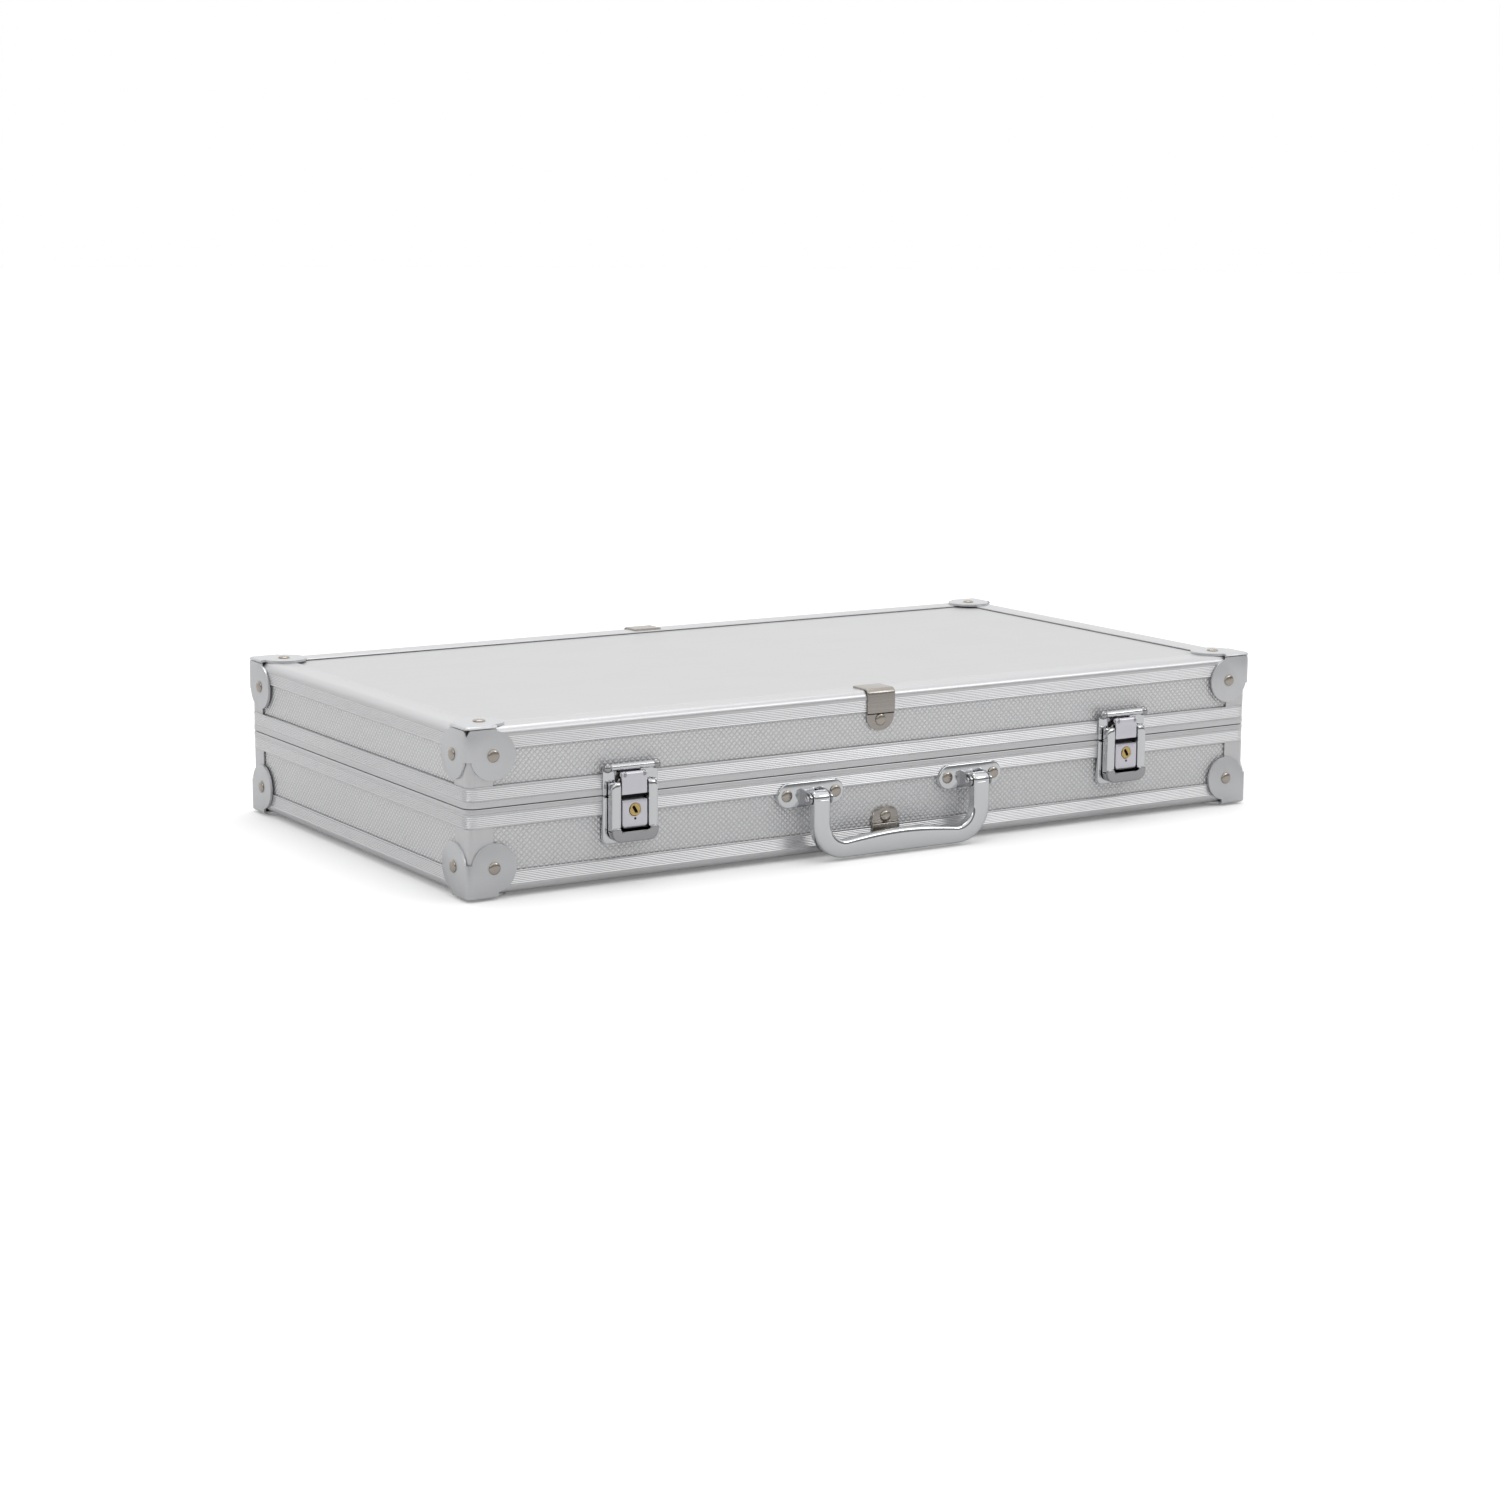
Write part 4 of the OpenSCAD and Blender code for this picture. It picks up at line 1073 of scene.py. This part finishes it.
    def small(self, f, look):
        """Pins and the small rivets behind the levers and the keepers."""
        pins = Shape()
        for _, x in LATCHES:
            pins.on_wall("front", x)
            for m in (-1, 1):
                reach, middle = (f.lever_w / 2 - EAR_X) / 2, m * (EAR_X + f.lever_w / 2) / 2
                pins.skin(turned(barrel(reach, 0.7, 0.15), (middle, *LEVER_PIVOT), "x", 16))
        pins.make("latch_pivots", [look["chrome"]], "base", "chrome", "latch_pivot_pins")
        for side, x in LATCHES:
            shape = Shape().on_wall("front", x)
            shape.skin(turned(barrel(f.window_w / 2 + 0.9, 0.6, 0.15), (0, *HOOK_PIN), "x", 16))
            shape.make(f"hook_pivot_{side}", [look["chrome"]], f"{side}_lever", "chrome",
                       f"{side}_hook_pin")
        for name, x_out, up, body in (("latch", 8.2, -11, "base"), ("keeper", 4.2, 5, "lid")):
            shape = Shape()
            for _, x in LATCHES:
                shape.on_wall("front", x)
                for m in (-1, 1):
                    shape.skin(turned(dome(1.7, 0.85), (m * x_out, up, LATCH_FRONT), n=20))
            shape.make(f"{name}_heads", [look["rivet"]], body, "rivet", f"{name}_rivets")


def ring_of(r, n):
    """n points evenly round a circle, from -180 degrees, anticlockwise."""
    t = np.linspace(-np.pi, np.pi, n, endpoint=False)
    return r * np.stack([np.cos(t), np.sin(t)], 1)


def oblong_round(w, low, high, r_low, r_high, n=96):
    """The outline of a rounded rectangle sampled at n even angles about the origin: the ray at
    each angle is cut by a dense copy of the outline."""
    dense = rounded([(-w, low, r_low), (w, low, r_low), (w, high, r_high), (-w, high, r_high)], 24)
    steps = np.linspace(0, 1, 12, endpoint=False)[:, None, None]
    dense = (dense * (1 - steps) + np.roll(dense, -1, 0) * steps).transpose(1, 0, 2).reshape(-1, 2)
    a = np.arctan2(dense[:, 1], dense[:, 0])
    order = np.argsort(a)
    t = np.linspace(-np.pi, np.pi, n, endpoint=False)
    r = np.interp(t, a[order], np.hypot(*dense[order].T), period=2 * np.pi)
    return r[:, None] * np.stack([np.cos(t), np.sin(t)], 1)


class CHIPCASE_OT_handle(BuildStep, Operator):
    """Builds the bail handle and the two brackets it swings in"""

    bl_idname = "chip_case.handle"
    bl_label = "Handle"

    def build(self, s, f, look):
        self.bail(f, look)
        self.brackets(f, look)

    def bail(self, f, look):
        """A flattened bar bent to a U. The grip's upper edge rises in the middle, and each arm
        ends in a round eye on its pin."""
        w = (ARMS_HIGH[0] - ARMS_LOW[0]) / 2
        wi = w - f.arm_w
        foot = ARMS_LOW[2] - PIVOT_Z
        bar, r = 7.2, 15.0
        ri = r - f.arm_w + 1
        n = 10
        down = np.array([-0.6, -2.5, -5, -8])
        inner = np.concatenate([
            np.column_stack([np.full(len(down), -wi), down]),
            arc((ri - wi, ri + bar + foot), ri, 180, 270, n)])
        outer = np.concatenate([
            np.column_stack([np.full(len(down), -w), down]),
            arc((r - w, r + foot), r, 180, 270, n)])
        t = np.linspace(0, 1, 12)[1:]
        x_in = (ri - wi) * (1 - t)
        x_out = (r - w) * (1 - t)
        hump = 2.2 * np.sin(np.pi / 2 * t)
        inner = np.concatenate([inner, np.column_stack([x_in, bar + foot + hump])])
        outer = np.concatenate([outer, np.column_stack([x_out, np.full(len(x_out), foot)])])
        mirror = np.array([-1, 1])
        inner = np.concatenate([inner, inner[-2::-1] * mirror])
        outer = np.concatenate([outer, outer[-2::-1] * mirror])
        a = np.linspace(0, 2 * np.pi, 28, endpoint=False)
        power = 0.45
        across = 0.5 + 0.5 * np.sign(np.cos(a)) * np.abs(np.cos(a)) ** power
        out = np.sign(np.sin(a)) * np.abs(np.sin(a)) ** power
        back = PIVOT_OUT - f.bail_t / 2 + 0.9
        middle, half = back + f.bail_t / 2, f.bail_t / 2
        shape = Shape().on_wall("front", HANDLE_X)
        shape.put(shape.turn, shape.place + np.array([0, 0, PIVOT_Z - SEAM]))
        depth = np.broadcast_to(middle + half * out, (len(inner), len(a)))
        shape.skin(yoke(inner, outer, np.broadcast_to(across, depth.shape), depth))
        for m in (-1, 1):
            eye = turned(barrel(f.arm_w / 2, 3.2, 1.1), (m * (w + wi) / 2, 0, PIVOT_OUT), "x", 32)
            shape.skin(eye)
        shape.make("bail_handle", [look["chrome"]], "handle", "chrome", "handle")

    def brackets(self, f, look):
        """Each bracket is an oblong plate with two ears, and its pin has rounded ends."""
        span = (ARMS_HIGH[0] - ARMS_LOW[0]) - f.arm_w
        low, high = box_mm("left_handle_bracket")
        wide, tall = high[0] - low[0], high[2] - low[2]
        z = (low[2] + high[2]) / 2 - SEAM
        pins, heads = Shape(), Shape()
        for side, m in (("left", -1), ("right", 1)):
            x = HANDLE_X + m * span / 2
            shape = Shape().on_wall("front", x)
            outline = oblong(wide, tall, tall / 2 - 0.01, 0, z, n=12)
            shape.skin(seated(plate(outline, WALL_FRONT, BRACKET_FRONT, 0.45, 3)))
            pz = PIVOT_Z - SEAM
            a = np.radians(np.linspace(-70, 70, 12))
            tip = np.array((pz, PIVOT_OUT)) + 2.6 * np.stack([np.sin(a), np.cos(a)], 1)
            ear = np.concatenate([[(pz - 3.4, 1.9), (pz - 2.5, 7.0)], tip, [(pz + 3.6, 1.9)]])
            for e in (-1, 1):
                mid = e * (f.arm_w / 2 + 0.9)
                # The ears take the painted-shade chrome: a darker tint standing in for their darker
                # reflections
                shape.skin(along_x(ear, mid - 0.5, mid + 0.5, 0.2), 1)
            shape.make(f"eared_bracket_{side}", [look["chrome"], look["pull"]], "base", "chrome",
                       f"{side}_handle_bracket")
            pins.on_wall("front", x)
            pins.skin(turned(barrel(f.arm_w / 2 + 1.9, 1.3, 0.4), (0, pz, PIVOT_OUT), "x", 20))
            heads.on_wall("front", x)
            for e in (-1, 1):
                place = (e * BRACKET_RIVET_X, z, BRACKET_FRONT)
                heads.skin(turned(dome(f.rivet_r, f.rivet_h), place))
        pins.make("bracket_pivots", [look["chrome"]], "base", "chrome", "handle_pins")
        heads.make("bracket_heads", [look["rivet"]], "base", "rivet", "bracket_rivets")


class CHIPCASE_OT_hinges(BuildStep, Operator):
    """Builds the two hinges on the back"""

    bl_idname = "chip_case.hinges"
    bl_label = "Hinges"

    def build(self, s, f, look):
        """Each leaf is a soft plate. Its knuckles are its edge wrapped round the pin: a thick
        line that follows a circle and runs out flat into the leaf."""
        out, gap = HINGE_PIN_OUT, 0.3
        knuckle = (f.hinge_w - 2 * gap) / 3
        a = np.radians(np.linspace(170, -110, 22))
        wrap = np.array((0, out)) + 1.62 * np.stack([np.sin(a), np.cos(a)], 1)
        wrap = wrap[(wrap[:, 1] > 2.2) | (wrap[:, 0] < 0.4)]
        rolled = thick_line(np.concatenate([[(3.2, 1.92), (1.4, 1.92)], wrap]), 0.95)
        for half, up, places in (("base", -1, (-1, 1)), ("lid", 1, (0,))):
            leaf, heads = Shape(), Shape()
            for m in (-1, 1):
                leaf.on_wall("back", m * HINGE_X)
                turn, place = leaf.turn.copy(), leaf.place.copy()
                leaf.put(np.diag([1, up, 1]) @ turn, place)
                cut, high, w = 2.3, f.leaf_h + 0.15, f.hinge_w / 2
                outline = rounded([(-w, cut, 0.2), (w, cut, 0.2), (w, high, 1.6), (-w, high, 1.6)])
                leaf.skin(plate(outline, 1.42, HINGE_FRONT, 0.25, 3))
                for i in places:
                    c = i * (knuckle + gap)
                    leaf.skin(along_x(rolled, c - knuckle / 2, c + knuckle / 2, 0.15))
                heads.put(leaf.turn, leaf.place)
                for e in (-1, 1):
                    heads.skin(turned(dome(2, 0.9), (e * 13, 5.4, HINGE_FRONT), n=24))
            leaf.make(f"hinge_leaves_{half}", [look["hinge"]], half, "hinge",
                      f"hinge_{half}_leaves")
            heads.make(f"hinge_heads_{half}", [look["rivet"]], half, "rivet",
                       f"hinge_{half}_rivets")
        pins = Shape()
        for m in (-1, 1):
            pins.on_wall("back", m * HINGE_X)
            pins.skin(turned(barrel(f.hinge_w / 2, 1.1, 0.3), (0, 0, out), "x", 20))
        pins.make("hinge_rods", [look["hinge"]], "base", "hinge", "hinge_pins")


class CHIPCASE_OT_inside(BuildStep, Operator):
    """Builds the flocked trays and the padded lining of the lid"""

    bl_idname = "chip_case.inside"
    bl_label = "Trays and lining"

    def build(self, s, f, look):
        for side in ("left", "right"):
            self.chip_tray(look, side)
        self.centre_tray(look)
        self.lining(look)

    @staticmethod
    def lines(low, high, step, *edges):
        """Grid lines at an even step, with close pairs on both sides of each steep edge."""
        even = np.linspace(low, high, max(2, round((high - low) / step) + 1))
        extra = np.array([e + d for e in edges for d in (-1.2, -0.6, -0.25, -0.04, 0.04, 0.3)])
        return np.unique(np.concatenate([even, extra[(extra > low) & (extra < high)]]))

    def chip_tray(self, look, side):
        """Three half-round channels: the height is the circle under each channel where it lies
        below the tray's top, and the ridges and ends are rounded by a smooth maximum."""
        low, high = box_mm(f"{side}_chip_tray")
        inner = min(abs(low[0]), abs(high[0]))
        r, ridge, reach = CHANNEL_R, CHANNEL_RIDGE, CHANNEL_REACH
        spare = (high[0] - low[0] - 6 * r - 2 * ridge) / 2
        sign = 1 if side == "right" else -1
        centres = sign * (inner + spare + r + np.arange(3) * (2 * r + ridge))
        axis = high[2] + CHANNEL_RISE
        middle = (low[1] + high[1]) / 2
        xs = self.lines(low[0], high[0], 1.0)
        ys = self.lines(low[1], high[1], 6.0, middle - reach, middle + reach)
        x, y = np.meshgrid(xs, ys, indexing="ij")
        away = np.min(np.abs(x[..., None] - centres), -1)
        bowl = axis - np.sqrt(np.maximum(r**2 - away**2, 0))
        wall = (np.abs(y - middle) - reach) / 0.5
        inside = smooth(0.5 - wall)
        z = high[2] - (high[2] - np.minimum(bowl, high[2])) * inside
        z = z - 0.5 * np.exp(-((high[2] - z) / 0.5)) * (inside > 0.02) * (away > r - 3)
        self.tray(f"flocked_tray_{side}", np.stack([x, y, z], -1), low[2], look,
                  f"{side}_chip_tray")

    def centre_tray(self, look):
        """Two card wells and a dice slot sunk with steep, softly rounded walls."""
        low, high = box_mm("centre_tray")
        gap = (high[1] - low[1] - 2 * CARD_LONG - DICE_LONG) / 4
        first, last = low[1] + gap, high[1] - gap
        second = first + CARD_LONG + gap
        wells = [(CARD_HALF, first, first + CARD_LONG), (CARD_HALF, second, second + CARD_LONG),
                 (DICE_HALF, last - DICE_LONG, last)]
        xs = self.lines(low[0], high[0], 7.0, *[e * w[0] for w in wells for e in (-1, 1)])
        ys = self.lines(low[1], high[1], 7.0, *[e for w in wells for e in w[1:]])
        x, y = np.meshgrid(xs, ys, indexing="ij")
        z = np.full(x.shape, high[2])
        for w, a, b in wells:
            out = np.maximum(np.abs(x) - w, np.maximum(a - y, y - b))
            z = z - WELL_DEEP * (out < 0) - 0.35 * smooth((0.9 - out) / 0.9) * (out >= 0)
            z = z + 0.8 * smooth(1.0 + out) * (out < 0)
        self.tray("flocked_centre", np.stack([x, y, z], -1), low[2], look, "centre_tray")

    @staticmethod
    def tray(name, top, low, look, node):
        shape = Shape()
        shape.slab(top, low)
        shape.make(name, [look["flock"]], "base", "tray", node, sharp=50)

    def lining(self, look):
        """A crowned pad: its free face falls off towards all four edges as the eighth power of
        the distance from the middle, and its sides pull in between the corners."""
        low, high = box_mm("lid_lining")
        n = 40
        u, v = np.meshgrid(np.linspace(-1, 1, n + 1), np.linspace(-1, 1, n + 1), indexing="ij")
        u, v = np.sin(u * np.pi / 2), np.sin(v * np.pi / 2)
        half = (high - low) / 2
        mid = (high + low) / 2
        x = u * (half[0] - 0.9 * (1 - v**2))
        y = v * (half[1] - 0.9 * (1 - u**2))
        drop = 4.5 * (1 - (1 - u**10) ** 0.5 * (1 - v**10) ** 0.5)
        thick = 2 * half[2] - 0.6
        z = thick - drop + 0.5 * np.cos(u * np.pi / 2) * np.cos(v * np.pi / 2)
        shape = Shape().put(np.diag([1, 1, -1]), (mid[0], mid[1], high[2]))
        shape.slab(np.stack([x, y, z], -1), 0.0)
        pad = shape.make("padded_lining", [look["flock"]], "lid", "lining", "lid_lining", sharp=70)


class CHIPCASE_OT_stage(Operator):
    """Sets the plain floor, the studio light and the camera"""

    bl_idname = "chip_case.stage"
    bl_label = "Studio"

    def execute(self, context):
        self.floor(context)
        self.lights(context)
        self.camera(context)
        return {"FINISHED"}

    def floor(self, context):
        mesh = bpy.data.meshes.new("studio_floor")
        t = np.linspace(0, 2 * np.pi, 64, endpoint=False)
        ring = 8.0 * np.stack([np.cos(t), np.sin(t), 0 * t], 1)
        mesh.from_pydata(ring.tolist(), [], [list(range(64))])
        material = bpy.data.materials.new("Studio floor")
        material.use_nodes = True
        bsdf = material.node_tree.nodes["Principled BSDF"]
        g = Graph(material.node_tree)
        mirrored = g.node("ShaderNodeLightPath").outputs["Is Glossy Ray"]
        tone = g.maths("SUBTRACT", 0.95, g.maths("MULTIPLY", mirrored, 0.3))
        g.join(g.grey(tone), bsdf.inputs["Base Color"])
        bsdf.inputs["Roughness"].default_value = 0.9
        bsdf.inputs["Emission Color"].default_value = (1, 1, 1, 1)
        g.join(g.maths("SUBTRACT", 0.16, g.maths("MULTIPLY", mirrored, 0.16)),
               bsdf.inputs["Emission Strength"])
        mesh.materials.append(material)
        floor = bpy.data.objects.new("studio_floor", mesh)
        context.scene.collection.objects.link(floor)

    def lights(self, context):
        world = bpy.data.worlds.new("Studio")
        context.scene.world = world
        world.use_nodes = True
        g = Graph(world.node_tree)
        generated = g.node("ShaderNodeTexCoord").outputs["Generated"]
        at = g.node("ShaderNodeSeparateXYZ", {0: generated})
        front = g.node("ShaderNodeMapRange", {0: at.outputs["Y"], 1: 0.1, 2: -0.5},
                       interpolation_type="SMOOTHSTEP").outputs[0]
        low = g.node("ShaderNodeMapRange", {0: at.outputs["Z"], 1: 0.5, 2: 0.2},
                     interpolation_type="SMOOTHSTEP").outputs[0]
        left = g.node("ShaderNodeMapRange", {0: at.outputs["X"], 1: -0.3, 2: -0.8},
                      interpolation_type="SMOOTHSTEP").outputs[0]
        shade = g.maths("SUBTRACT", 1.0, g.maths("MULTIPLY", g.maths("MULTIPLY", front, low), 0.8))
        shade = g.maths("MULTIPLY", shade,
                        g.maths("SUBTRACT", 1.0, g.maths("MULTIPLY", left, 0.4)))
        seen = g.node("ShaderNodeLightPath").outputs["Is Camera Ray"]
        shade = g.maths("MAXIMUM", shade, seen)
        back = g.nodes["Background"]
        back.inputs["Strength"].default_value = 1.0
        g.join(g.grey(shade), back.inputs["Color"])
        context.scene.view_settings.view_transform = "Standard"
        for name, place, size, power in (
            ("Overhead", (0.1, 0.2, 1.5), 1.0, 5),
            ("Left", (-1.5, -0.6, 1.0), 0.5, 2),
            ("Right", (1.0, -1.3, 0.9), 0.5, 2.5),
        ):
            light = bpy.data.lights.new(name, "AREA")
            light.shape, light.size, light.energy = "DISK", size, power
            lamp = bpy.data.objects.new(name, light)
            context.scene.collection.objects.link(lamp)
            lamp.location = place
            lamp.rotation_euler = (Vector((0, 0, 0.03)) - lamp.location).to_track_quat(
                "-Z", "Y").to_euler()

    def camera(self, context):
        """The camera's axes are given as rows right, up and back, with its place in metres from
        the middle of the case's foot."""
        right = Vector((0.84911435, -0.52818302, 0.00524557))
        up = Vector((0.09078092, 0.15570936, 0.9836226))
        back = right.cross(up)
        place = Vector((-0.71837, -1.14943 + MID_Y * MM, 0.27282 + CAPS_LOW[2] * MM))
        data = bpy.data.cameras.new("Camera")
        data.sensor_width = 36
        data.lens = 75.57
        data.clip_end = 50
        camera = bpy.data.objects.new("Camera", data)
        context.scene.collection.objects.link(camera)
        turn = Matrix((right, up, back)).transposed().to_4x4()
        camera.matrix_world = Matrix.Translation(place) @ turn
        context.scene.camera = camera


STEPS = (CHIPCASE_OT_walls, CHIPCASE_OT_trims, CHIPCASE_OT_rims, CHIPCASE_OT_caps,
         CHIPCASE_OT_clips, CHIPCASE_OT_rivets, CHIPCASE_OT_latches, CHIPCASE_OT_handle,
         CHIPCASE_OT_hinges, CHIPCASE_OT_inside, CHIPCASE_OT_stage)


class CHIPCASE_PT_build(Panel):
    """The building steps and their sizes"""

    bl_label = "Chip Case"
    bl_idname = "CHIPCASE_PT_build"
    bl_space_type = "VIEW_3D"
    bl_region_type = "UI"
    bl_category = "Chip Case"

    def draw(self, context):
        layout = self.layout
        for step in STEPS:
            layout.operator(step.bl_idname)
        for group_name in ("chip_case_shell", "chip_case_fittings", "chip_case_look"):
            owner = getattr(context.scene, group_name)
            box = layout.box()
            for key in type(owner).__annotations__:
                box.prop(owner, key)


CLASSES = (ChipCaseShell, ChipCaseFittings, ChipCaseLook, *STEPS, CHIPCASE_PT_build)


def register():
    for cls in CLASSES:
        bpy.utils.register_class(cls)
    bpy.types.Scene.chip_case_shell = PointerProperty(type=ChipCaseShell)
    bpy.types.Scene.chip_case_fittings = PointerProperty(type=ChipCaseFittings)
    bpy.types.Scene.chip_case_look = PointerProperty(type=ChipCaseLook)


def unregister():
    del bpy.types.Scene.chip_case_shell
    del bpy.types.Scene.chip_case_fittings
    del bpy.types.Scene.chip_case_look
    for cls in reversed(CLASSES):
        bpy.utils.unregister_class(cls)


def main():
    register()
    for step in STEPS:
        area, name = step.bl_idname.split(".")
        getattr(getattr(bpy.ops, area), name)()


if __name__ == "__main__":
    main()
